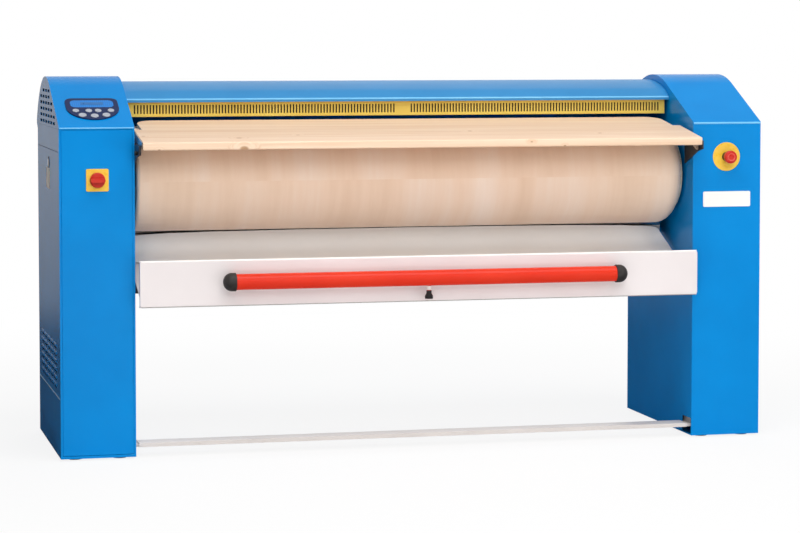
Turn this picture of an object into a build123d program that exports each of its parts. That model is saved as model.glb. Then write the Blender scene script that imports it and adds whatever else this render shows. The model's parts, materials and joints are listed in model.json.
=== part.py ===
"""Flatwork ironer: a padded roll turning between two end cabinets, with a heated chest behind it.

Millimetres. +X runs to the operator's right, +Y from the front to the back, +Z up. The origin is on
the floor, in the middle of the whole machine. Side profiles are drawn as (depth, height) pairs, with
the depth counted backwards from the cabinets' front faces. A size that ends in RISE or DROP is a height
above or below the piece it goes with, and one in GAP, INSET or OFFSET a length along the machine: the
heights follow the roll's axis, and the lengths the cabinets' inner faces, in the sizes worked out below.
"""
from build123d import *
from math import acos, atan2, cos, degrees, hypot, pi, radians, sin, sqrt, tan
import os

os.makedirs("parts", exist_ok=True)

# Overall form
OVERALL_WIDTH = 2200
CABINET_WIDTH = 224
CABINET_DEPTH = 628
SHEET = 2
FOOT_HEIGHT = 6
SEAM_RISE = 161.5
FOLD_RISE = 7
HEAD_TOP_RISE = 144
HEAD_CREST = 385
HEAD_SLOPE = 24.5
HEAD_REAR_RADIUS = 330
HEAD_OVERHANG = 27
HEAD_SKIRT = 16
FOLD_ROUND = 4

# Clearances
RUN = 0.05
SEAT = 0.3
SEAM_GAP = 0.4
PANEL_GAP = 1
DOOR_GAP = 1.5

# Roll
ROLL_DEPTH = 190
ROLL_HEIGHT = 823.5
ROLL_RADIUS = 157
ROLL_SIDE_GAP = 21
CLOTH_THICKNESS = 2
PADDING_THICKNESS = 9
CORE_WALL = 4
ROLL_END_ROUND = 34
ROLL_DISC = 8
SHAFT_RADIUS = 22.5
SHAFT_HOLE = 32

# Heated chest, drawn closed on the roll and swung open about its pivot
CLOSED_GAP = 1.5
TROUGH_WALL = 10
TROUGH_TOP_ANGLE = 60
TROUGH_BOTTOM_ANGLE = -78
TROUGH_INSET = 5
CHEST_PIVOT_DEPTH = 150
CHEST_PIVOT_DROP = 323.5
CHEST_SWING = 3.5
CHEST_PIN_RADIUS = 15
HEATER_COUNT = 8
HEATER_RADIUS = 5
HEATER_INSET = 15
CHEST_COVER_GAP = 24
CHEST_COVER_WALL = 1.5
CHEST_RIB_COUNT = 7
CHEST_RIB_THICKNESS = 6
BEAM_STANDOFF = 11.5
BEAM_DROP = 0.5
BEAM_SIZE = 50
ARM_THICKNESS = 12
ARM_OFFSET = 13
ARM_WIDTH = 50
NOSE_DEPTH = 450
NOSE_DROP = 43.5
NOSE_RADIUS = 14

# Press shaft and its cams
PRESS_DEPTH = 496
PRESS_DROP = 95.5
PRESS_RADIUS = 12.5
PRESS_TURN = 180
CAM_CLEARANCE = 0.7
CAM_POINTS = 18
BUSH_WALL = 8

# Side frames and beams
FRAME_THICKNESS = 8
FRAME_FRONT = 100
FRAME_REAR = 600
FRAME_BOTTOM = 30
FRAME_TOP_RISE = 136.5
BEAM_TUBE_HEIGHT = 60
BEAM_TUBE_WIDTH = 40
BEAM_TUBE_WALL = 3
FRONT_BEAM_DEPTH = 270
REAR_BEAM_DEPTH = 560
CROSS_BEAM_DROP = 323.5

# Hood and rear cover
HOOD_SHEET = 1.5
HOOD_LIP_DEPTH = 227
HOOD_LIP_BOTTOM_RISE = 65
HOOD_LIP_TOP_RISE = 10
HOOD_BEND_DEPTH = 258
HOOD_CREST = 430
HOOD_TOP_RISE = 62
HOOD_FRONT_RADIUS = 482
HOOD_REAR_RADIUS = 170
HOOD_REAR_SPAN = 45
REAR_COVER_BOTTOM_DROP = 183.5

# Finger guard
GUARD_DEPTH = 240
GUARD_BOTTOM_RISE = 21
GUARD_SHEET = 1.5
GUARD_FLANGE = 8
GUARD_SIDE_GAP = 11
GUARD_ROD_DEPTH = 236.5
GUARD_ROD_RISE = 49.5
GUARD_ROD_RADIUS = 4
GUARD_KNUCKLE_RADIUS = 5.8
SLOT_PITCH = 9.7
SLOT_WIDTH = 4.5
SLOT_HEIGHT = 27
SLOT_CENTRE_RISE = 22.5
SLOT_END_MARGIN = 13
GUARD_CENTRE_PLATE = 38

# Wooden feed board
BOARD_SIDE_GAP = 10
BOARD_FRONT = -110
BOARD_STEP = 93
BOARD_REAR = 239
BOARD_REAR_GAP = 34
BOARD_FRONT_TOP_RISE = 124.5
BOARD_SLOPE = 8.8
BOARD_THICKNESS = 24
BOARD_THIN = 7.5
BOARD_BEVEL_START = 50
BOARD_BEVEL_END = 150
BOARD_CORNER = 50
BOARD_ROUND = 4
BOARD_PIVOT_DEPTH = -60
BOARD_PIVOT_DROP = 33
BOARD_PIN_RADIUS = 4
BOARD_KNOB_RADIUS = 6.5
BOARD_KNOB_LENGTH = 9
HINGE_PLATE = 2
BRACKET_PLATE = 4

# Delivery chute and the bar on its front
CHUTE_SIDE_GAP = 6
CHUTE_SHEET = 2
CHUTE_FRONT = -60
CHUTE_RIM_DROP = 227.5
CHUTE_BOTTOM_DROP = 139
CHUTE_WALL_WIDTH = 14
CHUTE_FLOOR_FRONT_DROP = 108
CHUTE_SLOPE = 22.3
CHUTE_REAR = 420
CHUTE_RETURN = 24
BAR_AHEAD = 97
BAR_DROP = 64
BAR_RADIUS = 24
BAR_WALL = 2
BAR_SIDE_GAP = 286
BAR_CAP_RADIUS = 27.5
BAR_CAP_LENGTH = 38
BAR_CAP_ROUND = 14
BAR_TRAVEL = 6
BAR_GUIDE_INSET = 50
BAR_ROD_RADIUS = 8
BAR_KNOB_COLLAR_RADIUS = 6
BAR_KNOB_COLLAR_LENGTH = 14
BAR_KNOB_RADIUS = 12.5
BAR_KNOB_NECK_RADIUS = 8
BAR_KNOB_LENGTH = 25
BAR_KNOB_STEM_RADIUS = 3
BAR_KNOB_TRAVEL = 5

# Foot bar
FOOT_SIDE_GAP = 10
FOOT_FRONT = 14
FOOT_REAR = 80
FOOT_TOP = 44
FOOT_LIP = 12
FOOT_SHEET = 2.5
FOOT_PIVOT_DEPTH = 250
FOOT_PIVOT_HEIGHT = 62
FOOT_PIN_RADIUS = 8
FOOT_ARM_THICKNESS = 6
FOOT_ARM_WIDTH = 26
FOOT_SWING = 4

# Control panel on the left head's slope
PANEL_OFFSET = 1.4
PANEL_RADIUS = 79
PANEL_ARC_CENTRE = 123
PANEL_TOP = 186
PANEL_THICKNESS = 4
PANEL_CORNER = 22
DISPLAY_HALF_WIDTH = 65
DISPLAY_BOTTOM = 124
DISPLAY_TOP = 172
DISPLAY_THICKNESS = 1
KEY_CLEARANCE = 0.2
KEY_TOP = 6
KEY_TRAVEL = 0.9
KEY_GAP = 0.4
SMALL_KEY_RADIUS = 10
LARGE_KEY_RADIUS = 12
SMALL_KEYS = ((-52.5, 101), (-14, 100.5), (14, 100.5), (52.5, 101))
LARGE_KEYS = ((-35.5, 71), (0, 66), (35.5, 71))

# Switches and plates on the fronts
SWITCH_OFFSET = 1
SWITCH_DROP = 158
SWITCH_PLATE = 67
SWITCH_PLATE_THICKNESS = 2.5
SWITCH_KNOB_RADIUS = 22.5
SWITCH_SHAFT_RADIUS = 4
SWITCH_KNOB_BASE = 9
SWITCH_GRIP_HEIGHT = 22
SWITCH_GRIP_WIDTH = 13
SWITCH_GRIP_LENGTH = 43
SWITCH_GRIP_ROUND = 5.5
STOP_OFFSET = 2
STOP_DROP = 109
STOP_PLATE_RADIUS = 45
STOP_PLATE_THICKNESS = 2
STOP_HEAD_RADIUS = 20
STOP_REACH = 45
STOP_HEAD_LENGTH = 17
STOP_STEM_RADIUS = 9
STOP_COLLAR_RADIUS = 15
STOP_SHANK_RADIUS = 12
STOP_COLLAR_LENGTH = 18
STOP_TRAVEL = 6

# Service doors in the outer sides
DOOR_FRONT = 20
DOOR_REAR = 610
DOOR_BOTTOM = 181
DOOR_TOP_DROP = 69
DOOR_FLANGE = 14
DOOR_PIN_INSET = 7
DOOR_PIN_RISE = 8
DOOR_PIN_RADIUS = 3
DOOR_SILL_GAP = 3
LOUVRE_ROWS = 6
LOUVRE_COLUMNS = 5
LOUVRE_PITCH = 24
LOUVRE_COLUMN_PITCH = 90
LOUVRE_LENGTH = 74
LOUVRE_HEIGHT = 8
LOUVRE_FIRST = 208
LOUVRE_CENTRE_DEPTH = 325
LOCK_DEPTH = 293
LOCK_DROP = 41
LOCK_RADIUS = 9
LOCK_FLANGE_RADIUS = 12
LOCK_FLANGE = 2
LOCK_LENGTH = 20
LOCK_CAM_REACH = 30
VENT_ROWS = 6
VENT_COLUMNS = 6
VENT_PITCH = 19
VENT_COLUMN_PITCH = 75
VENT_LENGTH = 55
VENT_HEIGHT = 9
VENT_FIRST_RISE = 13
VENT_FRONT = 108
VENT_MARGIN = 8

# Roll drive in the right cabinet
CHAIN_PITCH = 15.875
ROLL_TEETH = 38
MOTOR_TEETH = 14
CHAIN_OFFSET = 40
CHAIN_WIDTH = 9
TOOTH_HEIGHT = 4
CHAIN_HEIGHT = 9
CHAIN_GAP = 0.5
ROLLER_RADIUS = 5.1
MOTOR_DEPTH = 330
MOTOR_DROP = 353.5
MOTOR_SHAFT_RADIUS = 14
GEARBOX_SIZE = 150
GEARBOX_LENGTH = 80
MOTOR_RADIUS = 62
MOTOR_LENGTH = 76
POST_RADIUS = 8

# Press drive in the left cabinet
PRESS_BOX_FRONT = 60
PRESS_BOX_REAR = 66
PRESS_BOX_HALF_HEIGHT = 66
PRESS_BOX_LENGTH = 80
PRESS_BOX_OFFSET = 44
PRESS_MOTOR_RADIUS = 38
PRESS_MOTOR_LENGTH = 66

# Bearings
BEARING_RADIUS = 55
BEARING_LENGTH = 20
BOLT_HEAD_RADIUS = 10
BOLT_HEAD_HEIGHT = 7
BEARING_BOLT_CIRCLE = 42

# Steam exhaust in the left cabinet
FAN_DEPTH = 330
FAN_HEIGHT = 300
FAN_RADIUS = 108
FAN_WIDTH = 70
FAN_WALL = 2
FAN_INLET_RADIUS = 50
IMPELLER_RADIUS = 88
IMPELLER_WIDTH = 44
IMPELLER_BLADES = 12
FAN_SHAFT_RADIUS = 6
FAN_MOTOR_RADIUS = 50
FAN_MOTOR_LENGTH = 48
DUCT_THICKNESS = 46
DUCT_OFFSET = 42
DUCT_FRONT = 150
DUCT_REAR = 230
DUCT_TOP_RISE = 46.5
DUCT_WALL = 2
OUTLET_HEIGHT = 80
OUTLET_REAR = 590
SPIGOT_RADIUS = 49.5
SPIGOT_WALL = 1.5
SPIGOT_REACH = 60
SPIGOT_FLANGE = 116

# Electrical plate and cable gland in the left cabinet
ELECTRIC_DEPTH = 92
ELECTRIC_BOTTOM = 430
ELECTRIC_TOP = 720
ELECTRIC_THICKNESS = 3
CONTACTOR_WIDTH = 38
CONTACTOR_HEIGHT = 70
CONTACTOR_DEPTH = 40
CONTACTOR_PITCH = 46
TERMINAL_HEIGHT = 28
GLAND_BORE = 9
GLAND_RADIUS = 16
GLAND_THREAD_RADIUS = 12.5
GLAND_LENGTH = 22
GLAND_HEIGHT = 120

# Levelling feet
FOOT_RADIUS = 22
FOOT_STEM_RADIUS = 6
FOOT_STEM_LENGTH = 40
FOOT_INSET = 45

# Smaller seats and details
REAR_COVER_LAP = 6
REAR_VENT_RISE = 176.5
REAR_VENT_PITCH = 90
REAR_VENT_COLUMNS = 14
REAR_VENT_ROWS = 3
PIN_HEAD = 5
GUARD_ROD_END = 6
BEAM_SWEEP = 20
NOTCH_MARGIN = 7
NOTCH_RISE = 16
NOTCH_UNDER = 5
DOOR_BLOCK = 12
DOOR_BLOCK_LENGTH = 8
PANEL_FLANGE = 6
PANEL_LIP = 3
PANEL_BORDER = 6
PANEL_TOP_BORDER = 2
PANEL_SILL = 8
CORE_INSET = 29
ROLL_END_OPENING = 112
SHAFT_IN_DUCT = 6
SHAFT_WALL = 6
MOTOR_SHAFT_LENGTH = 40
GEARBOX_GAP = 3
GEARBOX_ROUND = 12
HEATER_BEAM_ANGLE = 8
COVER_BEAM_ANGLE = 10
COVER_END = 0.6
CHEST_RIB_INSET = 30
CAM_DWELL = 10
PRESS_SHAFT_REACH = 114
DUCT_MARGIN = 12
IMPELLER_GAP = 8
IMPELLER_PLATE = 2
BLADE_LEAN = 35
FOOT_TAB = 16
HINGE_PLATE_INSET = 2
BRACKET_INSET = 16
BRACKET_TOP_RISE = 23
BRACKET_LOW_DROP = 3
BRACKET_BOTTOM_DROP = 55
BRACKET_REAR = 68
REST_TAB = 12
REST_REACH = 22
CHUTE_BEND = 4
CHUTE_RIM_ROUND = 5
CHUTE_CORNER = 10
HANGER_FRONTS = (30, 340)
HANGER_LENGTH = 60
HANGER_HEIGHT = 24
HANGER_WIDTH = 20
BUSH_RADIUS = 12
BUSH_LENGTH = 18
BUSH_FLANGE = 3
CAP_SPIGOT = 12
FOOT_TAB_INSET = 8
DISPLAY_ROUND = 16
KEY_ROUND = 1.5
SWITCH_PLATE_ROUND = 5
SWITCH_SHAFT_LENGTH = 24
SWITCH_BODY = 46
STOP_STEM_END = 14
STOP_NECK_RADIUS = 6
STOP_NECK_LENGTH = 9
STOP_HEAD_ROUND = 5

# Sizes worked out from those above
INNER = OVERALL_WIDTH / 2 - CABINET_WIDTH
OUTER = OVERALL_WIDTH / 2
CABINET_CENTRE = OUTER - CABINET_WIDTH / 2
ROLL_HALF_LENGTH = INNER - ROLL_SIDE_GAP
TROUGH_HALF_LENGTH = ROLL_HALF_LENGTH - TROUGH_INSET
HEATER_HALF_LENGTH = TROUGH_HALF_LENGTH - HEATER_INSET
CORE_HALF_LENGTH = ROLL_HALF_LENGTH - CORE_INSET
GUARD_HALF_LENGTH = INNER - GUARD_SIDE_GAP
BOARD_HALF_LENGTH = INNER - BOARD_SIDE_GAP
BOARD_NARROW_HALF = INNER - BOARD_REAR_GAP
CHUTE_HALF_LENGTH = INNER - CHUTE_SIDE_GAP
BAR_HALF_LENGTH = INNER - BAR_SIDE_GAP
BAR_GUIDE_OFFSET = BAR_HALF_LENGTH - BAR_GUIDE_INSET
FOOT_HALF_LENGTH = INNER - FOOT_SIDE_GAP
PRESS_SHAFT_LEFT = INNER + PRESS_SHAFT_REACH
PANEL_CENTRE = CABINET_CENTRE - PANEL_OFFSET
SWITCH_CENTRE = CABINET_CENTRE - SWITCH_OFFSET
STOP_CENTRE = CABINET_CENTRE - STOP_OFFSET
SEAM_HEIGHT = ROLL_HEIGHT + SEAM_RISE
FOLD_HEIGHT = SEAM_HEIGHT + FOLD_RISE
HEAD_TOP = FOLD_HEIGHT + HEAD_TOP_RISE
CHEST_PIVOT_HEIGHT = ROLL_HEIGHT - CHEST_PIVOT_DROP
BEAM_HEIGHT = ROLL_HEIGHT - BEAM_DROP
BEAM_DEPTH = ROLL_DEPTH + ROLL_RADIUS + CLOSED_GAP + TROUGH_WALL + BEAM_STANDOFF + BEAM_SIZE / 2
NOSE_HEIGHT = ROLL_HEIGHT - NOSE_DROP
PRESS_HEIGHT = ROLL_HEIGHT - PRESS_DROP
FRAME_TOP = ROLL_HEIGHT + FRAME_TOP_RISE
CROSS_BEAM_HEIGHT = ROLL_HEIGHT - CROSS_BEAM_DROP
HOOD_LIP_BOTTOM = FOLD_HEIGHT + HOOD_LIP_BOTTOM_RISE
HOOD_LIP_TOP = HOOD_LIP_BOTTOM + HOOD_LIP_TOP_RISE
HOOD_TOP = HOOD_LIP_BOTTOM + HOOD_TOP_RISE
REAR_COVER_BOTTOM = ROLL_HEIGHT - REAR_COVER_BOTTOM_DROP
GUARD_BOTTOM = FOLD_HEIGHT + GUARD_BOTTOM_RISE
GUARD_ROD_HEIGHT = GUARD_BOTTOM + GUARD_ROD_RISE
SLOT_CENTRE = GUARD_BOTTOM + SLOT_CENTRE_RISE
BOARD_FRONT_TOP = ROLL_HEIGHT + BOARD_FRONT_TOP_RISE
BOARD_PIVOT_HEIGHT = BOARD_FRONT_TOP - BOARD_PIVOT_DROP
BRACKET_TOP = BOARD_PIVOT_HEIGHT + BRACKET_TOP_RISE
BRACKET_LOW = BOARD_PIVOT_HEIGHT - BRACKET_LOW_DROP
BRACKET_BOTTOM = BOARD_PIVOT_HEIGHT - BRACKET_BOTTOM_DROP
CHUTE_RIM = ROLL_HEIGHT - CHUTE_RIM_DROP
CHUTE_BOTTOM = CHUTE_RIM - CHUTE_BOTTOM_DROP
CHUTE_FLOOR_FRONT = CHUTE_RIM - CHUTE_FLOOR_FRONT_DROP
BAR_HEIGHT = CHUTE_RIM - BAR_DROP
SWITCH_HEIGHT = FOLD_HEIGHT - SWITCH_DROP
STOP_HEIGHT = FOLD_HEIGHT - STOP_DROP
DOOR_TOP = SEAM_HEIGHT - DOOR_TOP_DROP
LOCK_HEIGHT = DOOR_TOP - LOCK_DROP
VENT_FIRST = SEAM_HEIGHT + VENT_FIRST_RISE
MOTOR_HEIGHT = ROLL_HEIGHT - MOTOR_DROP
DUCT_TOP = ROLL_HEIGHT + DUCT_TOP_RISE
REAR_VENT_HEIGHT = ROLL_HEIGHT + REAR_VENT_RISE
FRAME_OUT = INNER + SHEET + FRAME_THICKNESS
ARM_IN = INNER + ARM_OFFSET
FRONT_REACH = BAR_AHEAD + BAR_CAP_RADIUS
REAR_REACH = CABINET_DEPTH + SPIGOT_REACH
FRONT_Y = (FRONT_REACH - REAR_REACH) / 2
DUCT_X = -(INNER + DUCT_OFFSET)
FAN_X = DUCT_X - DUCT_THICKNESS
SPIGOT_X = FAN_X - FAN_WIDTH / 2
SPIGOT_HEIGHT = FAN_HEIGHT + FAN_RADIUS - OUTLET_HEIGHT / 2
KEY_BASE = KEY_TRAVEL + KEY_CLEARANCE
ROLL_PITCH_RADIUS = CHAIN_PITCH / 2 / sin(pi / ROLL_TEETH)
MOTOR_PITCH_RADIUS = CHAIN_PITCH / 2 / sin(pi / MOTOR_TEETH)
KEYS = tuple(((x - PANEL_CENTRE, up), SMALL_KEY_RADIUS) for x, up in SMALL_KEYS)
KEYS += tuple(((x - PANEL_CENTRE, up), LARGE_KEY_RADIUS) for x, up in LARGE_KEYS)
FOOT_DROP = (FOOT_PIVOT_DEPTH - FOOT_FRONT) * sin(radians(FOOT_SWING))
SIDES = (("left", -1), ("right", 1))


def side_plane(x):
    """Plane across the machine at x, with local axes (depth, height)."""
    return Plane(origin=(x, FRONT_Y, 0), x_dir=(0, 1, 0), z_dir=(1, 0, 0))


def front_plane(depth):
    """Plane facing the operator at a depth, with local axes (x, height)."""
    return Plane(origin=(0, FRONT_Y + depth, 0), x_dir=(1, 0, 0), z_dir=(0, -1, 0))


def slope_plane(rise):
    """Plane on the heads' slope, raised by rise, with local axes (x, distance up the slope)."""
    lean = radians(HEAD_SLOPE)
    origin = (0, FRONT_Y - rise * sin(lean), FOLD_HEIGHT + rise * cos(lean))
    return Plane(origin=origin, x_dir=(1, 0, 0), z_dir=(0, -sin(lean), cos(lean)))


def chest_plane(x):
    """Side plane tied to the chest: its profiles are drawn closed, and it stands them swung open."""
    lean = radians(-CHEST_SWING)
    origin = (x, FRONT_Y + CHEST_PIVOT_DEPTH, CHEST_PIVOT_HEIGHT)
    plane = Plane(origin=origin, x_dir=(0, cos(lean), sin(lean)), z_dir=(1, 0, 0))
    return plane.shift_origin(plane.from_local_coords((-CHEST_PIVOT_DEPTH, -CHEST_PIVOT_HEIGHT, 0)))


def span(low, high, mode=Mode.ADD):
    """Rectangle from its lowest to its highest corner."""
    with Locations(((low[0] + high[0]) / 2, (low[1] + high[1]) / 2)):
        Rectangle(high[0] - low[0], high[1] - low[1], mode=mode)


def disc(centre, radius, mode=Mode.ADD):
    """Circle at a centre."""
    with Locations(centre):
        Circle(radius, mode=mode)


def bent_sheet(points, radii, thickness):
    """Section of a bent sheet whose middle runs through the points."""
    with BuildLine() as middle:
        FilletPolyline(*points, radius=radii)
    with BuildLine() as outline:
        offset(middle.line, amount=thickness / 2, side=Side.BOTH, closed=True)
    make_face(outline.edges())


def keep(builder, name):
    """Label a finished piece and write it out."""
    builder.part.label = name
    export_step(builder.part, f"parts/{name}.step")


def head_front_radius():
    """Radius of the arc that leads from the heads' slope to their level crest."""
    lean = radians(HEAD_SLOPE)
    rise = HEAD_TOP - FOLD_HEIGHT - HEAD_CREST * tan(lean)
    return rise / (1 - cos(lean) - sin(lean) * tan(lean))


def head_outline():
    """Outside of a head, seen from the side, down to the seam and round the rear skirt."""
    lean = radians(HEAD_SLOPE)
    front = head_front_radius()
    rear_depth = CABINET_DEPTH + HEAD_OVERHANG
    rear_angle = degrees(acos((rear_depth - HEAD_CREST) / HEAD_REAR_RADIUS))
    rear_height = HEAD_TOP - HEAD_REAR_RADIUS * (1 - sin(radians(rear_angle)))
    skirt = CABINET_DEPTH + SEAM_GAP
    slope_end = HEAD_CREST - front * sin(lean)
    with BuildLine() as outline:
        Polyline((0, SEAM_HEIGHT), (0, FOLD_HEIGHT), (slope_end, FOLD_HEIGHT + slope_end * tan(lean)))
        CenterArc((HEAD_CREST, HEAD_TOP - front), front, 90, HEAD_SLOPE)
        CenterArc((HEAD_CREST, HEAD_TOP - HEAD_REAR_RADIUS), HEAD_REAR_RADIUS, rear_angle, 90 - rear_angle)
        Polyline((rear_depth, rear_height), (rear_depth, SEAM_HEIGHT),
                 (skirt + SHEET, SEAM_HEIGHT - HEAD_SKIRT), (skirt, SEAM_HEIGHT - HEAD_SKIRT),
                 (skirt, SEAM_HEIGHT), (0, SEAM_HEIGHT))
    make_face(outline.edges())


def head_height(depth):
    """Height of a head's outside at a depth."""
    lean = radians(HEAD_SLOPE)
    front = head_front_radius()
    if depth < HEAD_CREST - front * sin(lean):
        return FOLD_HEIGHT + depth * tan(lean)
    radius = front if depth < HEAD_CREST else HEAD_REAR_RADIUS
    return HEAD_TOP - radius + sqrt(radius ** 2 - (depth - HEAD_CREST) ** 2)


def from_centre(angle, radius):
    """Point at an angle and radius about the roll's axis, as (depth, height)."""
    turn = radians(angle)
    return (ROLL_DEPTH + radius * cos(turn), ROLL_HEIGHT + radius * sin(turn))


def arc_band(inner, outer, start, end):
    """Part of a ring about the roll's axis, between two angles."""
    middle = (start + end) / 2
    with BuildLine() as band:
        ThreePointArc(from_centre(start, inner), from_centre(middle, inner), from_centre(end, inner))
        Line(from_centre(end, inner), from_centre(end, outer))
        ThreePointArc(from_centre(end, outer), from_centre(middle, outer), from_centre(start, outer))
        Line(from_centre(start, outer), from_centre(start, inner))
    make_face(band.edges())


def board_top(depth):
    """Height of the feed board's upper face at a depth."""
    return BOARD_FRONT_TOP + (depth - BOARD_FRONT) * tan(radians(BOARD_SLOPE))


def chute_height(depth):
    """Height of the middle of the chute's sloping sheet at a depth."""
    inner_wall = CHUTE_FRONT + CHUTE_WALL_WIDTH
    return CHUTE_FLOOR_FRONT + (depth - inner_wall) * tan(radians(CHUTE_SLOPE))


# End cabinets ------------------------------------------------------------------------------------


def foot_circles(side, radius):
    """Four circles at the levelling feet under one cabinet."""
    with Locations((side * CABINET_CENTRE, FRONT_Y + CABINET_DEPTH / 2)):
        with GridLocations(CABINET_WIDTH - 2 * FOOT_INSET, CABINET_DEPTH - 2 * FOOT_INSET, 2, 2):
            Circle(radius)


for side_name, side in SIDES:
    inner_wall = side * INNER
    outer_wall = side * OUTER
    low_x = min(inner_wall, outer_wall)
    with BuildPart() as cabinet:
        with BuildSketch(side_plane(low_x)):
            span((0, FOOT_HEIGHT), (CABINET_DEPTH, SEAM_HEIGHT - SEAM_GAP))
        extrude(amount=CABINET_WIDTH)
        with BuildSketch(side_plane(low_x + SHEET)):
            span((SHEET, FOOT_HEIGHT + SHEET), (CABINET_DEPTH - SHEET, SEAM_HEIGHT + SHEET))
        extrude(amount=CABINET_WIDTH - 2 * SHEET, mode=Mode.SUBTRACT)
        # Service door opening in the outer side
        with BuildSketch(side_plane(outer_wall)):
            span((DOOR_FRONT - DOOR_GAP, DOOR_BOTTOM - DOOR_SILL_GAP),
                 (DOOR_REAR + DOOR_GAP, DOOR_TOP + DOOR_GAP))
        extrude(amount=-side * SHEET, mode=Mode.SUBTRACT)
        # Inner side: roll shaft, chest beam, press shaft, foot bar
        with BuildSketch(side_plane(inner_wall)):
            disc((ROLL_DEPTH, ROLL_HEIGHT), SHAFT_HOLE)
            span((BEAM_DEPTH - BEAM_SIZE, BEAM_HEIGHT - BEAM_SIZE),
                 (BEAM_DEPTH + BEAM_SIZE + BEAM_SWEEP, BEAM_HEIGHT + BEAM_SIZE))
            disc((PRESS_DEPTH, PRESS_HEIGHT), PRESS_RADIUS + BUSH_WALL + RUN)
            span((FOOT_FRONT - NOTCH_MARGIN, FOOT_TOP - FOOT_LIP - FOOT_DROP - NOTCH_UNDER),
                 (FOOT_REAR + NOTCH_MARGIN, FOOT_TOP + NOTCH_RISE))
        extrude(amount=side * SHEET, mode=Mode.SUBTRACT)
        # Holes for the feet's stems
        with BuildSketch(Plane.XY.offset(FOOT_HEIGHT)):
            foot_circles(side, FOOT_STEM_RADIUS + SEAT)
        extrude(amount=SHEET, mode=Mode.SUBTRACT)
        if side < 0:
            # Inset front panel, exhaust spigot and cable gland
            with BuildSketch(front_plane(0)):
                span((outer_wall + PANEL_BORDER, FOOT_HEIGHT + PANEL_SILL),
                     (inner_wall - PANEL_BORDER, SEAM_HEIGHT - PANEL_TOP_BORDER))
            extrude(amount=-SHEET, mode=Mode.SUBTRACT)
            with BuildSketch(front_plane(CABINET_DEPTH - SHEET)):
                disc((SPIGOT_X, SPIGOT_HEIGHT), SPIGOT_RADIUS + PANEL_GAP)
                disc((-CABINET_CENTRE, GLAND_HEIGHT), GLAND_THREAD_RADIUS + SEAT)
            extrude(amount=-SHEET, mode=Mode.SUBTRACT)
        else:
            with BuildSketch(front_plane(0)):
                disc((STOP_CENTRE, STOP_HEIGHT), STOP_SHANK_RADIUS)
            extrude(amount=-SHEET, mode=Mode.SUBTRACT)
    keep(cabinet, f"{side_name}_cabinet")

with BuildPart() as left_front_panel:
    panel_low = (-OUTER + PANEL_BORDER + PANEL_GAP, FOOT_HEIGHT + PANEL_SILL + PANEL_GAP)
    panel_high = (-INNER - PANEL_BORDER - PANEL_GAP, SEAM_HEIGHT - PANEL_TOP_BORDER - PANEL_GAP)
    with BuildSketch(front_plane(0)):
        span(panel_low, panel_high)
    extrude(amount=-PANEL_FLANGE)
    with BuildSketch(front_plane(SHEET)):
        span((panel_low[0] + SHEET, panel_low[1] + SHEET), (panel_high[0] - SHEET, panel_high[1] - SHEET))
    extrude(amount=-PANEL_FLANGE, mode=Mode.SUBTRACT)
    # Side lips that sit behind the cabinet's front edges
    with BuildSketch(front_plane(SHEET + SEAT)):
        span((panel_low[0] - PANEL_LIP, panel_low[1]), (panel_high[0] + PANEL_LIP, panel_high[1]))
        span((panel_low[0] + SHEET, panel_low[1]), (panel_high[0] - SHEET, panel_high[1]), Mode.SUBTRACT)
    extrude(amount=-SHEET)
    with BuildSketch(front_plane(0)):
        disc((-SWITCH_CENTRE, SWITCH_HEIGHT), SWITCH_SHAFT_RADIUS + PANEL_GAP)
    extrude(amount=-SHEET, mode=Mode.SUBTRACT)
keep(left_front_panel, "left_front_panel")

for side_name, side in SIDES:
    low_x = min(side * INNER, side * OUTER)
    with BuildPart() as head_cover:
        with BuildSketch(side_plane(low_x)):
            head_outline()
        extrude(amount=CABINET_WIDTH)
        fold = head_cover.edges().filter_by(Axis.X).sort_by_distance((0, FRONT_Y, FOLD_HEIGHT))[0]
        fillet(fold, radius=FOLD_ROUND)
        with BuildSketch(side_plane(low_x + SHEET)):
            head_outline()
            offset(amount=-SHEET)
            span((SHEET, SEAM_HEIGHT - SHEET), (CABINET_DEPTH - SHEET, SEAM_HEIGHT + 2 * SHEET))
        extrude(amount=CABINET_WIDTH - 2 * SHEET, mode=Mode.SUBTRACT)
        # Rows of vent slots, cut where the head's outline leaves room
        with BuildSketch(side_plane(side * OUTER)):
            for row in range(VENT_ROWS):
                height = VENT_FIRST + row * VENT_PITCH
                for column in range(VENT_COLUMNS):
                    front = VENT_FRONT + column * VENT_COLUMN_PITCH
                    room = min(head_height(front), head_height(front + VENT_LENGTH))
                    if height + VENT_HEIGHT / 2 + VENT_MARGIN < room:
                        with Locations((front + VENT_LENGTH / 2, height)):
                            SlotOverall(VENT_LENGTH, VENT_HEIGHT)
        extrude(amount=-side * SHEET, mode=Mode.SUBTRACT)
        # Bearing hole for the guard's rod in the inner side
        with BuildSketch(side_plane(side * INNER)):
            disc((GUARD_ROD_DEPTH, GUARD_ROD_HEIGHT), GUARD_ROD_RADIUS + SEAT)
        extrude(amount=side * SHEET, mode=Mode.SUBTRACT)
    keep(head_cover, f"{side_name}_head_cover")

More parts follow.
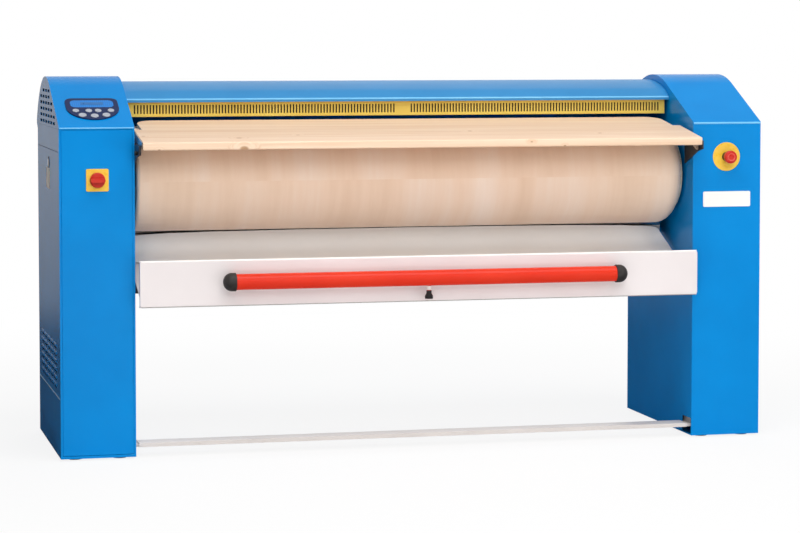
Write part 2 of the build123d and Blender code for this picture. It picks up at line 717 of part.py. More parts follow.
for side_name, side in SIDES:
    door_outer = side * OUTER
    with BuildPart() as door:
        with BuildSketch(side_plane(door_outer)):
            span((DOOR_FRONT, DOOR_BOTTOM), (DOOR_REAR, DOOR_TOP))
        extrude(amount=-side * DOOR_FLANGE)
        with BuildSketch(side_plane(door_outer - side * SHEET)):
            span((DOOR_FRONT + SHEET, DOOR_BOTTOM + SHEET), (DOOR_REAR - SHEET, DOOR_TOP - SHEET))
        extrude(amount=-side * DOOR_FLANGE, mode=Mode.SUBTRACT)
        with BuildSketch(side_plane(door_outer)):
            with Locations((LOUVRE_CENTRE_DEPTH, LOUVRE_FIRST + (LOUVRE_ROWS - 1) * LOUVRE_PITCH / 2)):
                with GridLocations(LOUVRE_COLUMN_PITCH, LOUVRE_PITCH, LOUVRE_COLUMNS, LOUVRE_ROWS):
                    SlotOverall(LOUVRE_LENGTH, LOUVRE_HEIGHT)
            disc((LOCK_DEPTH, LOCK_HEIGHT), LOCK_RADIUS + RUN)
        extrude(amount=-side * SHEET, mode=Mode.SUBTRACT)
        # Bores for the hinge pins in the front and rear flanges
        with BuildSketch(front_plane(DOOR_FRONT)):
            disc((door_outer - side * DOOR_PIN_INSET, DOOR_BOTTOM + DOOR_PIN_RISE), DOOR_PIN_RADIUS + RUN)
        extrude(amount=-(DOOR_REAR - DOOR_FRONT), mode=Mode.SUBTRACT)
    keep(door, f"{side_name}_service_door")

    with BuildPart() as lock:
        with BuildSketch(side_plane(door_outer)):
            disc((LOCK_DEPTH, LOCK_HEIGHT), LOCK_RADIUS)
        extrude(amount=-side * LOCK_LENGTH)
        with BuildSketch(side_plane(door_outer + side * RUN)):
            disc((LOCK_DEPTH, LOCK_HEIGHT), LOCK_FLANGE_RADIUS)
        extrude(amount=side * LOCK_FLANGE)
        with BuildSketch(side_plane(door_outer)):
            disc((LOCK_DEPTH, LOCK_HEIGHT), LOCK_RADIUS)
        extrude(amount=side * RUN)
        with BuildSketch(side_plane(door_outer + side * (LOCK_FLANGE + RUN))):
            with Locations((LOCK_DEPTH, LOCK_HEIGHT)):
                Rectangle(LOCK_FLANGE, LOCK_RADIUS)
        extrude(amount=-side * LOCK_FLANGE, mode=Mode.SUBTRACT)
        with BuildSketch(side_plane(door_outer - side * LOCK_LENGTH)):
            span((LOCK_DEPTH - LOCK_RADIUS, LOCK_HEIGHT - LOCK_RADIUS),
                 (LOCK_DEPTH + LOCK_RADIUS, LOCK_HEIGHT + LOCK_CAM_REACH))
        extrude(amount=-side * LOCK_FLANGE)
    keep(lock, f"{side_name}_door_lock")

with BuildPart() as levelling_feet:
    for _, side in SIDES:
        with BuildSketch(Plane.XY):
            foot_circles(side, FOOT_RADIUS)
        extrude(amount=FOOT_HEIGHT)
        with BuildSketch(Plane.XY.offset(FOOT_HEIGHT)):
            foot_circles(side, FOOT_STEM_RADIUS)
        extrude(amount=FOOT_STEM_LENGTH)
keep(levelling_feet, "levelling_feet")

# Load-bearing frame ------------------------------------------------------------------------------

with BuildPart() as side_frames:
    for _, side in SIDES:
        with BuildSketch(side_plane(side * (INNER + SHEET))):
            span((FRAME_FRONT, FRAME_BOTTOM), (FRAME_REAR, FRAME_TOP))
            disc((ROLL_DEPTH, ROLL_HEIGHT), SHAFT_HOLE, Mode.SUBTRACT)
            disc((PRESS_DEPTH, PRESS_HEIGHT), PRESS_RADIUS + BUSH_WALL + RUN, Mode.SUBTRACT)
            disc((CHEST_PIVOT_DEPTH, CHEST_PIVOT_HEIGHT), CHEST_PIN_RADIUS + RUN, Mode.SUBTRACT)
            disc((FOOT_PIVOT_DEPTH, FOOT_PIVOT_HEIGHT), FOOT_PIN_RADIUS + RUN, Mode.SUBTRACT)
            span((BEAM_DEPTH - BEAM_SIZE, BEAM_HEIGHT - BEAM_SIZE),
                 (BEAM_DEPTH + BEAM_SIZE + BEAM_SWEEP, BEAM_HEIGHT + BEAM_SIZE), Mode.SUBTRACT)
        extrude(amount=side * FRAME_THICKNESS)
keep(side_frames, "side_frames")

with BuildPart() as beams_and_hangers:
    for beam_depth in (FRONT_BEAM_DEPTH, REAR_BEAM_DEPTH):
        with BuildSketch(side_plane(-INNER)):
            with Locations((beam_depth, CROSS_BEAM_HEIGHT)):
                Rectangle(BEAM_TUBE_WIDTH, BEAM_TUBE_HEIGHT)
                offset(amount=-BEAM_TUBE_WALL, mode=Mode.SUBTRACT)
        extrude(amount=2 * INNER)
    # Hangers under the chute's edges, on the cabinets' inner sides
    seat = (CHUTE_SHEET / 2 + SEAT) / cos(radians(CHUTE_SLOPE))
    for _, side in SIDES:
        for hanger_front in HANGER_FRONTS:
            hanger_rear = hanger_front + HANGER_LENGTH
            hanger_low = chute_height(hanger_front) - HANGER_HEIGHT
            with BuildSketch(side_plane(side * INNER)):
                Polygon((hanger_front, hanger_low), (hanger_rear, hanger_low),
                        (hanger_rear, chute_height(hanger_rear) - seat),
                        (hanger_front, chute_height(hanger_front) - seat), align=None)
            extrude(amount=-side * HANGER_WIDTH)
keep(beams_and_hangers, "beams_and_hangers")

# Hood and rear cover -----------------------------------------------------------------------------


def hood_edge(inset):
    """Front lip, bend and the two arcs of the hood, inset from its outside."""
    rise = sqrt(HOOD_FRONT_RADIUS ** 2 - (HOOD_CREST - HOOD_BEND_DEPTH) ** 2)
    turn = degrees(atan2(HOOD_CREST - HOOD_BEND_DEPTH, rise))
    front = CenterArc((HOOD_CREST, HOOD_TOP - HOOD_FRONT_RADIUS), HOOD_FRONT_RADIUS - inset, 90, turn)
    rear = CenterArc((HOOD_CREST, HOOD_TOP - HOOD_REAR_RADIUS), HOOD_REAR_RADIUS - inset,
                     90 - HOOD_REAR_SPAN, HOOD_REAR_SPAN)
    lip = HOOD_LIP_DEPTH + inset
    Polyline((lip, HOOD_LIP_BOTTOM), (lip, HOOD_LIP_TOP - inset / 2), front @ 1)
    return (lip, HOOD_LIP_BOTTOM), rear @ 0


with BuildPart() as hood:
    with BuildSketch(side_plane(-INNER + SEAT)):
        with BuildLine():
            outer_lip, outer_rear = hood_edge(0)
            inner_lip, inner_rear = hood_edge(HOOD_SHEET)
            Line(outer_lip, inner_lip)
            Line(outer_rear, inner_rear)
        make_face()
    extrude(amount=2 * (INNER - SEAT))
keep(hood, "hood")

with BuildPart() as rear_cover:
    lap_radius = HOOD_REAR_RADIUS - HOOD_SHEET - SEAT
    lap_turn = 90 - HOOD_REAR_SPAN + REAR_COVER_LAP
    lap_centre = (HOOD_CREST, HOOD_TOP - HOOD_REAR_RADIUS)
    back = HOOD_CREST + lap_radius
    with BuildSketch(side_plane(-INNER + SEAT)):
        with BuildLine():
            outer_arc = CenterArc(lap_centre, lap_radius, 0, lap_turn)
            inner_arc = CenterArc(lap_centre, lap_radius - HOOD_SHEET, 0, lap_turn)
            Line(outer_arc @ 1, inner_arc @ 1)
            Polyline(outer_arc @ 0, (back, REAR_COVER_BOTTOM), (back - HOOD_SHEET, REAR_COVER_BOTTOM),
                     inner_arc @ 0)
        make_face()
    extrude(amount=2 * (INNER - SEAT))
    with BuildSketch(front_plane(HOOD_CREST)):
        with Locations((0, REAR_VENT_HEIGHT)):
            with GridLocations(REAR_VENT_PITCH, VENT_PITCH, REAR_VENT_COLUMNS, REAR_VENT_ROWS):
                SlotOverall(VENT_LENGTH, VENT_HEIGHT)
    extrude(amount=-HOOD_REAR_RADIUS, mode=Mode.SUBTRACT)
keep(rear_cover, "rear_cover")

# Finger guard ------------------------------------------------------------------------------------

with BuildPart() as finger_guard:
    with BuildSketch(side_plane(-GUARD_HALF_LENGTH)):
        span((GUARD_DEPTH, GUARD_BOTTOM), (GUARD_DEPTH + GUARD_SHEET, GUARD_ROD_HEIGHT))
        span((GUARD_DEPTH, GUARD_BOTTOM), (GUARD_DEPTH + GUARD_FLANGE, GUARD_BOTTOM + GUARD_SHEET))
        disc((GUARD_ROD_DEPTH, GUARD_ROD_HEIGHT), GUARD_KNUCKLE_RADIUS)
        disc((GUARD_ROD_DEPTH, GUARD_ROD_HEIGHT), GUARD_ROD_RADIUS + RUN, Mode.SUBTRACT)
    extrude(amount=2 * GUARD_HALF_LENGTH)
    slot_count = int((GUARD_HALF_LENGTH - SLOT_END_MARGIN - GUARD_CENTRE_PLATE / 2) / SLOT_PITCH)
    slot_centre = (GUARD_HALF_LENGTH - SLOT_END_MARGIN + GUARD_CENTRE_PLATE / 2) / 2
    with BuildSketch(front_plane(GUARD_DEPTH)):
        with Locations((-slot_centre, SLOT_CENTRE), (slot_centre, SLOT_CENTRE)):
            with GridLocations(SLOT_PITCH, SLOT_PITCH, slot_count, 1):
                Rectangle(SLOT_WIDTH, SLOT_HEIGHT)
    extrude(amount=-GUARD_SHEET, mode=Mode.SUBTRACT)
keep(finger_guard, "finger_guard")

# Pins fixed to the frames and shells: guard rod, chest, foot bar and door pivots -----------------


def headed_pin(side, depth, height, radius, grip_end, head_radius):
    """Pin out of a side frame's foot, through an arm that ends at grip_end, under a retaining head."""
    with BuildSketch(side_plane(side * (INNER + SHEET))) as shank:
        disc((depth, height), radius)
    extrude(shank.sketch, amount=side * (grip_end + SEAT + PIN_HEAD - INNER - SHEET))
    with BuildSketch(side_plane(side * (grip_end + SEAT))) as head:
        disc((depth, height), head_radius)
    extrude(head.sketch, amount=side * PIN_HEAD)


with BuildPart() as pivot_pins:
    with BuildSketch(side_plane(-INNER - SHEET - GUARD_ROD_END)):
        disc((GUARD_ROD_DEPTH, GUARD_ROD_HEIGHT), GUARD_ROD_RADIUS)
    extrude(amount=2 * (INNER + SHEET + GUARD_ROD_END))
    for _, side in SIDES:
        headed_pin(side, CHEST_PIVOT_DEPTH, CHEST_PIVOT_HEIGHT, CHEST_PIN_RADIUS,
                   ARM_IN + ARM_THICKNESS, CHEST_PIN_RADIUS + PIN_HEAD)
        headed_pin(side, FOOT_PIVOT_DEPTH, FOOT_PIVOT_HEIGHT, FOOT_PIN_RADIUS,
                   ARM_IN + FOOT_ARM_THICKNESS, FOOT_PIN_RADIUS + PIN_HEAD)
        pin_x = side * (OUTER - DOOR_PIN_INSET)
        block_x = side * (OUTER - SHEET - DOOR_BLOCK / 2)
        pin_height = DOOR_BOTTOM + DOOR_PIN_RISE
        front_end = DOOR_FRONT - DOOR_GAP
        rear_end = DOOR_REAR + DOOR_GAP
        for block_depth, inward in ((front_end, -1), (rear_end, 1)):
            with BuildSketch(front_plane(block_depth)):
                with Locations((block_x, pin_height)):
                    Rectangle(DOOR_BLOCK, DOOR_BLOCK)
            extrude(amount=-inward * DOOR_BLOCK_LENGTH)
            with BuildSketch(front_plane(block_depth)):
                disc((pin_x, pin_height), DOOR_PIN_RADIUS)
            extrude(amount=inward * (DOOR_GAP + 2 * SHEET))
keep(pivot_pins, "pivot_pins")

# Roll --------------------------------------------------------------------------------------------

CORE_RADIUS = ROLL_RADIUS - CLOTH_THICKNESS - PADDING_THICKNESS
LEFT_SHAFT_END = -DUCT_X + SHAFT_IN_DUCT
RIGHT_SHAFT_END = INNER + CHAIN_OFFSET + CHAIN_WIDTH


def roll_cylinder(half_length, radius, end_round, mode=Mode.ADD):
    """Cylinder on the roll's axis, revolved from half a section with rounded ends."""
    roll_axis = Axis((0, FRONT_Y + ROLL_DEPTH, ROLL_HEIGHT), (1, 0, 0))
    section = Plane(origin=(0, FRONT_Y + ROLL_DEPTH, ROLL_HEIGHT), x_dir=(1, 0, 0), z_dir=(0, -1, 0))
    with BuildSketch(section) as half_section:
        span((-half_length, 0), (half_length, radius))
        if end_round:
            fillet(half_section.vertices().group_by(Axis.Y)[-1], radius=end_round)
    revolve(half_section.sketch, axis=roll_axis, mode=mode)


with BuildPart() as roll_core:
    roll_cylinder(CORE_HALF_LENGTH, CORE_RADIUS, 0)
    roll_cylinder(CORE_HALF_LENGTH - ROLL_DISC, CORE_RADIUS - CORE_WALL, 0, Mode.SUBTRACT)
    for side, shaft_end in ((-1, LEFT_SHAFT_END), (1, RIGHT_SHAFT_END)):
        with BuildSketch(side_plane(side * (CORE_HALF_LENGTH - ROLL_DISC))):
            disc((ROLL_DEPTH, ROLL_HEIGHT), SHAFT_RADIUS)
        extrude(amount=side * (shaft_end - CORE_HALF_LENGTH + ROLL_DISC))
    # Steam leaves through the hollow left shaft
    with BuildSketch(side_plane(-LEFT_SHAFT_END)):
        disc((ROLL_DEPTH, ROLL_HEIGHT), SHAFT_RADIUS - SHAFT_WALL)
    extrude(amount=LEFT_SHAFT_END - CORE_HALF_LENGTH + ROLL_DISC, mode=Mode.SUBTRACT)
keep(roll_core, "roll_core")

with BuildPart() as roll_padding:
    padding_half = ROLL_HALF_LENGTH - CLOTH_THICKNESS
    roll_cylinder(padding_half, CORE_RADIUS + PADDING_THICKNESS, ROLL_END_ROUND - CLOTH_THICKNESS)
    roll_cylinder(CORE_HALF_LENGTH, CORE_RADIUS, 0, Mode.SUBTRACT)
    roll_cylinder(ROLL_HALF_LENGTH, ROLL_END_OPENING, 0, Mode.SUBTRACT)
keep(roll_padding, "roll_padding")

with BuildPart() as roll_cloth:
    roll_cylinder(ROLL_HALF_LENGTH, ROLL_RADIUS, ROLL_END_ROUND)
    padding_round = ROLL_END_ROUND - CLOTH_THICKNESS
    roll_cylinder(padding_half, CORE_RADIUS + PADDING_THICKNESS, padding_round, Mode.SUBTRACT)
    roll_cylinder(ROLL_HALF_LENGTH, ROLL_END_OPENING, 0, Mode.SUBTRACT)
keep(roll_cloth, "roll_cloth")

# Roll drive: sprockets, chain and gearmotor ------------------------------------------------------


def sprocket_sketch(centre, teeth, pitch_radius, bore):
    """Toothed disc about a centre, with its gaps cut on the pitch circle."""
    disc(centre, pitch_radius + TOOTH_HEIGHT)
    with Locations(centre):
        with PolarLocations(pitch_radius, teeth):
            Circle(ROLLER_RADIUS, mode=Mode.SUBTRACT)
        if bore:
            Circle(bore, mode=Mode.SUBTRACT)


with BuildPart() as roll_sprocket:
    with BuildSketch(side_plane(INNER + CHAIN_OFFSET)):
        sprocket_sketch((ROLL_DEPTH, ROLL_HEIGHT), ROLL_TEETH, ROLL_PITCH_RADIUS, SHAFT_RADIUS + RUN)
    extrude(amount=CHAIN_WIDTH)
keep(roll_sprocket, "roll_sprocket")

with BuildPart() as motor_sprocket:
    with BuildSketch(side_plane(INNER + CHAIN_OFFSET)):
        sprocket_sketch((MOTOR_DEPTH, MOTOR_HEIGHT), MOTOR_TEETH, MOTOR_PITCH_RADIUS, 0)
    extrude(amount=CHAIN_WIDTH)
    with BuildSketch(side_plane(INNER + CHAIN_OFFSET + CHAIN_WIDTH)):
        disc((MOTOR_DEPTH, MOTOR_HEIGHT), MOTOR_SHAFT_RADIUS)
    extrude(amount=MOTOR_SHAFT_LENGTH)
keep(motor_sprocket, "motor_sprocket")

with BuildPart() as drive_chain:
    for rise, mode in ((CHAIN_HEIGHT, Mode.ADD), (CHAIN_GAP, Mode.SUBTRACT)):
        with BuildSketch(side_plane(INNER + CHAIN_OFFSET)):
            disc((ROLL_DEPTH, ROLL_HEIGHT), ROLL_PITCH_RADIUS + TOOTH_HEIGHT + rise)
            disc((MOTOR_DEPTH, MOTOR_HEIGHT), MOTOR_PITCH_RADIUS + TOOTH_HEIGHT + rise)
            make_hull()
        extrude(amount=CHAIN_WIDTH, mode=mode)
keep(drive_chain, "drive_chain")

GEARBOX_START = INNER + CHAIN_OFFSET + CHAIN_WIDTH + GEARBOX_GAP
with BuildPart() as roll_gearmotor:
    with BuildSketch(side_plane(GEARBOX_START)):
        with Locations((MOTOR_DEPTH, MOTOR_HEIGHT)):
            Rectangle(GEARBOX_SIZE, GEARBOX_SIZE)
    extrude(amount=GEARBOX_LENGTH)
    fillet(roll_gearmotor.edges().filter_by(Axis.X), radius=GEARBOX_ROUND)
    with BuildSketch(side_plane(GEARBOX_START + GEARBOX_LENGTH)):
        disc((MOTOR_DEPTH, MOTOR_HEIGHT), MOTOR_RADIUS)
    extrude(amount=MOTOR_LENGTH)
    # Posts to the side frame
    with BuildSketch(side_plane(FRAME_OUT)):
        with Locations((MOTOR_DEPTH, MOTOR_HEIGHT)):
            post = GEARBOX_SIZE / 2 - 2 * POST_RADIUS
            with Locations((-post, -post), (post, -post), (post, post)):
                Circle(POST_RADIUS)
    extrude(amount=GEARBOX_START - FRAME_OUT)
    with BuildSketch(side_plane(GEARBOX_START)):
        disc((MOTOR_DEPTH, MOTOR_HEIGHT), MOTOR_SHAFT_RADIUS + RUN)
    extrude(amount=GEARBOX_LENGTH, mode=Mode.SUBTRACT)
keep(roll_gearmotor, "roll_gearmotor")

# Bearings ----------------------------------------------------------------------------------------

with BuildPart() as shaft_bearings:
    for _, side in SIDES:
        with BuildSketch(side_plane(side * FRAME_OUT)):
            disc((ROLL_DEPTH, ROLL_HEIGHT), BEARING_RADIUS)
            disc((ROLL_DEPTH, ROLL_HEIGHT), SHAFT_RADIUS + RUN, Mode.SUBTRACT)
        extrude(amount=side * BEARING_LENGTH)
        with BuildSketch(side_plane(side * (FRAME_OUT + BEARING_LENGTH))):
            with Locations((ROLL_DEPTH, ROLL_HEIGHT)):
                with PolarLocations(BEARING_BOLT_CIRCLE, 4, start_angle=45):
                    RegularPolygon(BOLT_HEAD_RADIUS, 6)
        extrude(amount=side * BOLT_HEAD_HEIGHT)
        with BuildSketch(side_plane(side * INNER)):
            disc((PRESS_DEPTH, PRESS_HEIGHT), PRESS_RADIUS + BUSH_WALL)
            disc((PRESS_DEPTH, PRESS_HEIGHT), PRESS_RADIUS + RUN, Mode.SUBTRACT)
        extrude(amount=side * (FRAME_OUT - INNER))
keep(shaft_bearings, "shaft_bearings")

# Heated chest ------------------------------------------------------------------------------------

TROUGH_RADIUS = ROLL_RADIUS + CLOSED_GAP
TROUGH_OUTER = TROUGH_RADIUS + TROUGH_WALL
HEATER_SEAT = TROUGH_OUTER + HEATER_RADIUS
COVER_INNER = TROUGH_OUTER + CHEST_COVER_GAP

with BuildPart() as chest_trough:
    with BuildSketch(chest_plane(-TROUGH_HALF_LENGTH)):
        arc_band(TROUGH_RADIUS, TROUGH_OUTER, TROUGH_BOTTOM_ANGLE, TROUGH_TOP_ANGLE)
        # Rolled lip that leads the linen into the nip
        disc(from_centre(TROUGH_TOP_ANGLE, (TROUGH_RADIUS + TROUGH_OUTER) / 2), TROUGH_WALL / 2)
    extrude(amount=2 * TROUGH_HALF_LENGTH)
keep(chest_trough, "chest_trough")

with BuildPart() as chest_heaters:
    with BuildSketch(chest_plane(-HEATER_HALF_LENGTH)):
        for index in range(HEATER_COUNT):
            share = (index + 1) / (HEATER_COUNT + 1)
            angle = TROUGH_BOTTOM_ANGLE + share * (TROUGH_TOP_ANGLE - TROUGH_BOTTOM_ANGLE)
            if abs(angle) > HEATER_BEAM_ANGLE:
                disc(from_centre(angle, HEATER_SEAT), HEATER_RADIUS)
    extrude(amount=2 * HEATER_HALF_LENGTH)
keep(chest_heaters, "chest_heaters")

with BuildPart() as chest_cover:
    for low, high in ((TROUGH_BOTTOM_ANGLE, -COVER_BEAM_ANGLE), (COVER_BEAM_ANGLE, TROUGH_TOP_ANGLE)):
        with BuildSketch(chest_plane(-TROUGH_HALF_LENGTH)):
            arc_band(COVER_INNER, COVER_INNER + CHEST_COVER_WALL, low, high)
            arc_band(TROUGH_OUTER, COVER_INNER + CHEST_COVER_WALL, low, low + COVER_END)
            arc_band(TROUGH_OUTER, COVER_INNER + CHEST_COVER_WALL, high - COVER_END, high)
        extrude(amount=2 * TROUGH_HALF_LENGTH)
keep(chest_cover, "chest_cover")

with BuildPart() as chest_beam:
    with BuildSketch(chest_plane(-ARM_IN)):
        with Locations((BEAM_DEPTH, BEAM_HEIGHT)):
            Rectangle(BEAM_SIZE, BEAM_SIZE)
            offset(amount=-BEAM_TUBE_WALL, mode=Mode.SUBTRACT)
    extrude(amount=2 * ARM_IN)
    rib_pitch = 2 * (TROUGH_HALF_LENGTH - CHEST_RIB_INSET) / (CHEST_RIB_COUNT - 1)
    for index in range(CHEST_RIB_COUNT):
        rib_x = -TROUGH_HALF_LENGTH + CHEST_RIB_INSET + index * rib_pitch
        with BuildSketch(chest_plane(rib_x - CHEST_RIB_THICKNESS / 2)):
            span((ROLL_DEPTH, BEAM_HEIGHT - BEAM_SIZE / 2),
                 (BEAM_DEPTH - BEAM_SIZE / 2, BEAM_HEIGHT + BEAM_SIZE / 2))
            disc((ROLL_DEPTH, ROLL_HEIGHT), TROUGH_OUTER, Mode.SUBTRACT)
        extrude(amount=CHEST_RIB_THICKNESS)
keep(chest_beam, "chest_beam")

with BuildPart() as chest_arms:
    for _, side in SIDES:
        with BuildSketch(chest_plane(side * ARM_IN)):
            for ends in (((CHEST_PIVOT_DEPTH, CHEST_PIVOT_HEIGHT), (BEAM_DEPTH, BEAM_HEIGHT), ARM_WIDTH / 2),
                         ((BEAM_DEPTH, BEAM_HEIGHT), (NOSE_DEPTH, NOSE_HEIGHT), NOSE_RADIUS)):
                with BuildSketch(mode=Mode.ADD):
                    disc(ends[0], ARM_WIDTH / 2)
                    disc(ends[1], ends[2])
                    make_hull()
            disc((CHEST_PIVOT_DEPTH, CHEST_PIVOT_HEIGHT), CHEST_PIN_RADIUS + RUN, Mode.SUBTRACT)
        extrude(amount=side * ARM_THICKNESS)
keep(chest_arms, "chest_arms")

# Press drive: shaft with two cams, and its gearmotor ---------------------------------------------


def nose_place(closing):
    """Centre of the arms' nose, as (depth, height), when the chest has closed by some degrees."""
    turn = radians(closing - CHEST_SWING)
    depth = NOSE_DEPTH - CHEST_PIVOT_DEPTH
    height = NOSE_HEIGHT - CHEST_PIVOT_HEIGHT
    return (CHEST_PIVOT_DEPTH + depth * cos(turn) - height * sin(turn),
            CHEST_PIVOT_HEIGHT + depth * sin(turn) + height * cos(turn))


def cam_points():
    """Cam outline: it lifts the nose at a steady rate over its working turn, then falls back."""
    points = []
    for index in range(CAM_POINTS):
        turn = 360 * index / CAM_POINTS
        if turn <= PRESS_TURN + CAM_DWELL:
            closing = CHEST_SWING * turn / PRESS_TURN
        else:
            top = CHEST_SWING * (PRESS_TURN + CAM_DWELL) / PRESS_TURN
            closing = top * (360 - turn) / (360 - PRESS_TURN - CAM_DWELL)
        depth, height = nose_place(closing)
        away = atan2(height - PRESS_HEIGHT, depth - PRESS_DEPTH) + radians(turn)
        radius = hypot(depth - PRESS_DEPTH, height - PRESS_HEIGHT) - NOSE_RADIUS - CAM_CLEARANCE
        points.append((PRESS_DEPTH + radius * cos(away), PRESS_HEIGHT + radius * sin(away)))
    return points


with BuildPart() as press_shaft:
    with BuildSketch(side_plane(-PRESS_SHAFT_LEFT)):
        disc((PRESS_DEPTH, PRESS_HEIGHT), PRESS_RADIUS)
    extrude(amount=PRESS_SHAFT_LEFT + ARM_IN + ARM_THICKNESS)
    for _, side in SIDES:
        with BuildSketch(side_plane(side * ARM_IN)):
            with BuildLine():
                Spline(*cam_points(), periodic=True)
            make_face()
        extrude(amount=side * ARM_THICKNESS)
keep(press_shaft, "press_shaft")

with BuildPart() as press_gearmotor:
    box_x = -(INNER + PRESS_BOX_OFFSET)
    with BuildSketch(side_plane(box_x)):
        span((PRESS_DEPTH - PRESS_BOX_FRONT, PRESS_HEIGHT - PRESS_BOX_HALF_HEIGHT),
             (PRESS_DEPTH + PRESS_BOX_REAR, PRESS_HEIGHT + PRESS_BOX_HALF_HEIGHT))
    extrude(amount=-PRESS_BOX_LENGTH)
    fillet(press_gearmotor.edges().filter_by(Axis.X), radius=GEARBOX_ROUND)
    with BuildSketch(side_plane(box_x - PRESS_BOX_LENGTH)):
        disc((PRESS_DEPTH, PRESS_HEIGHT), PRESS_MOTOR_RADIUS)
    extrude(amount=-PRESS_MOTOR_LENGTH)
    with BuildSketch(side_plane(-FRAME_OUT)):
        rear_post = PRESS_DEPTH + PRESS_BOX_REAR - POST_RADIUS
        front_post = PRESS_DEPTH - PRESS_BOX_FRONT + POST_RADIUS
        low_post = PRESS_HEIGHT - PRESS_BOX_HALF_HEIGHT + POST_RADIUS
        high_post = PRESS_HEIGHT + PRESS_BOX_HALF_HEIGHT - POST_RADIUS
        with Locations((rear_post, high_post), (rear_post, low_post), (front_post, low_post)):
            Circle(POST_RADIUS)
    extrude(amount=box_x + FRAME_OUT)
    with BuildSketch(side_plane(box_x)):
        disc((PRESS_DEPTH, PRESS_HEIGHT), PRESS_RADIUS + RUN)
    extrude(amount=-PRESS_BOX_LENGTH, mode=Mode.SUBTRACT)
keep(press_gearmotor, "press_gearmotor")

# Steam exhaust -----------------------------------------------------------------------------------

with BuildPart() as suction_duct:
    with BuildSketch(side_plane(DUCT_X)):
        span((DUCT_FRONT, FAN_HEIGHT - FAN_INLET_RADIUS - DUCT_MARGIN), (DUCT_REAR, DUCT_TOP))
        span((DUCT_FRONT, FAN_HEIGHT - FAN_INLET_RADIUS - DUCT_MARGIN),
             (FAN_DEPTH + FAN_INLET_RADIUS + DUCT_MARGIN, FAN_HEIGHT + FAN_INLET_RADIUS + DUCT_MARGIN))
    extrude(amount=-DUCT_THICKNESS)
    with BuildSketch(side_plane(DUCT_X - DUCT_WALL)):
        span((DUCT_FRONT + DUCT_WALL, FAN_HEIGHT - FAN_INLET_RADIUS - DUCT_MARGIN + DUCT_WALL),
             (DUCT_REAR - DUCT_WALL, DUCT_TOP - DUCT_WALL))
        span((DUCT_FRONT + DUCT_WALL, FAN_HEIGHT - FAN_INLET_RADIUS - DUCT_MARGIN + DUCT_WALL),
             (FAN_DEPTH + FAN_INLET_RADIUS + DUCT_MARGIN - DUCT_WALL,
              FAN_HEIGHT + FAN_INLET_RADIUS + DUCT_MARGIN - DUCT_WALL))
    extrude(amount=-DUCT_THICKNESS + 2 * DUCT_WALL, mode=Mode.SUBTRACT)
    with BuildSketch(side_plane(DUCT_X)):
        disc((ROLL_DEPTH, ROLL_HEIGHT), SHAFT_RADIUS + SEAT)
    extrude(amount=-DUCT_WALL, mode=Mode.SUBTRACT)
    with BuildSketch(side_plane(FAN_X)):
        disc((FAN_DEPTH, FAN_HEIGHT), FAN_INLET_RADIUS)
    extrude(amount=DUCT_WALL, mode=Mode.SUBTRACT)
keep(suction_duct, "suction_duct")

with BuildPart() as exhaust_fan:
    outlet_low = FAN_HEIGHT + FAN_RADIUS - OUTLET_HEIGHT
    with BuildSketch(side_plane(FAN_X)):
        disc((FAN_DEPTH, FAN_HEIGHT), FAN_RADIUS)
        span((FAN_DEPTH, outlet_low), (OUTLET_REAR, FAN_HEIGHT + FAN_RADIUS))
    extrude(amount=-FAN_WIDTH)
    with BuildSketch(side_plane(FAN_X - FAN_WALL)):
        disc((FAN_DEPTH, FAN_HEIGHT), FAN_RADIUS - FAN_WALL)
        span((FAN_DEPTH, outlet_low + FAN_WALL), (OUTLET_REAR, FAN_HEIGHT + FAN_RADIUS - FAN_WALL))
    extrude(amount=-FAN_WIDTH + 2 * FAN_WALL, mode=Mode.SUBTRACT)
    with BuildSketch(side_plane(FAN_X)):
        disc((FAN_DEPTH, FAN_HEIGHT), FAN_INLET_RADIUS)
    extrude(amount=-FAN_WALL, mode=Mode.SUBTRACT)
    # Outlet flange and round spigot through the cabinet's back
    with BuildSketch(front_plane(OUTLET_REAR)):
        with Locations((SPIGOT_X, SPIGOT_HEIGHT)):
            Rectangle(SPIGOT_FLANGE, SPIGOT_FLANGE)
            Circle(SPIGOT_RADIUS - SPIGOT_WALL, mode=Mode.SUBTRACT)
    extrude(amount=-FAN_WALL)
    with BuildSketch(front_plane(OUTLET_REAR)):
        with Locations((SPIGOT_X, SPIGOT_HEIGHT)):
            Circle(SPIGOT_RADIUS)
            Circle(SPIGOT_RADIUS - SPIGOT_WALL, mode=Mode.SUBTRACT)
    extrude(amount=-(REAR_REACH - OUTLET_REAR))
    # Motor outside the scroll, with the wheel's shaft running through
    with BuildSketch(side_plane(FAN_X - FAN_WIDTH)):
        disc((FAN_DEPTH, FAN_HEIGHT), FAN_MOTOR_RADIUS)
    extrude(amount=-FAN_MOTOR_LENGTH)
    with BuildSketch(side_plane(FAN_X - FAN_WIDTH + FAN_WALL)):
        disc((FAN_DEPTH, FAN_HEIGHT), FAN_SHAFT_RADIUS + RUN)
    extrude(amount=-FAN_WALL - FAN_MOTOR_LENGTH / 2, mode=Mode.SUBTRACT)
keep(exhaust_fan, "exhaust_fan")

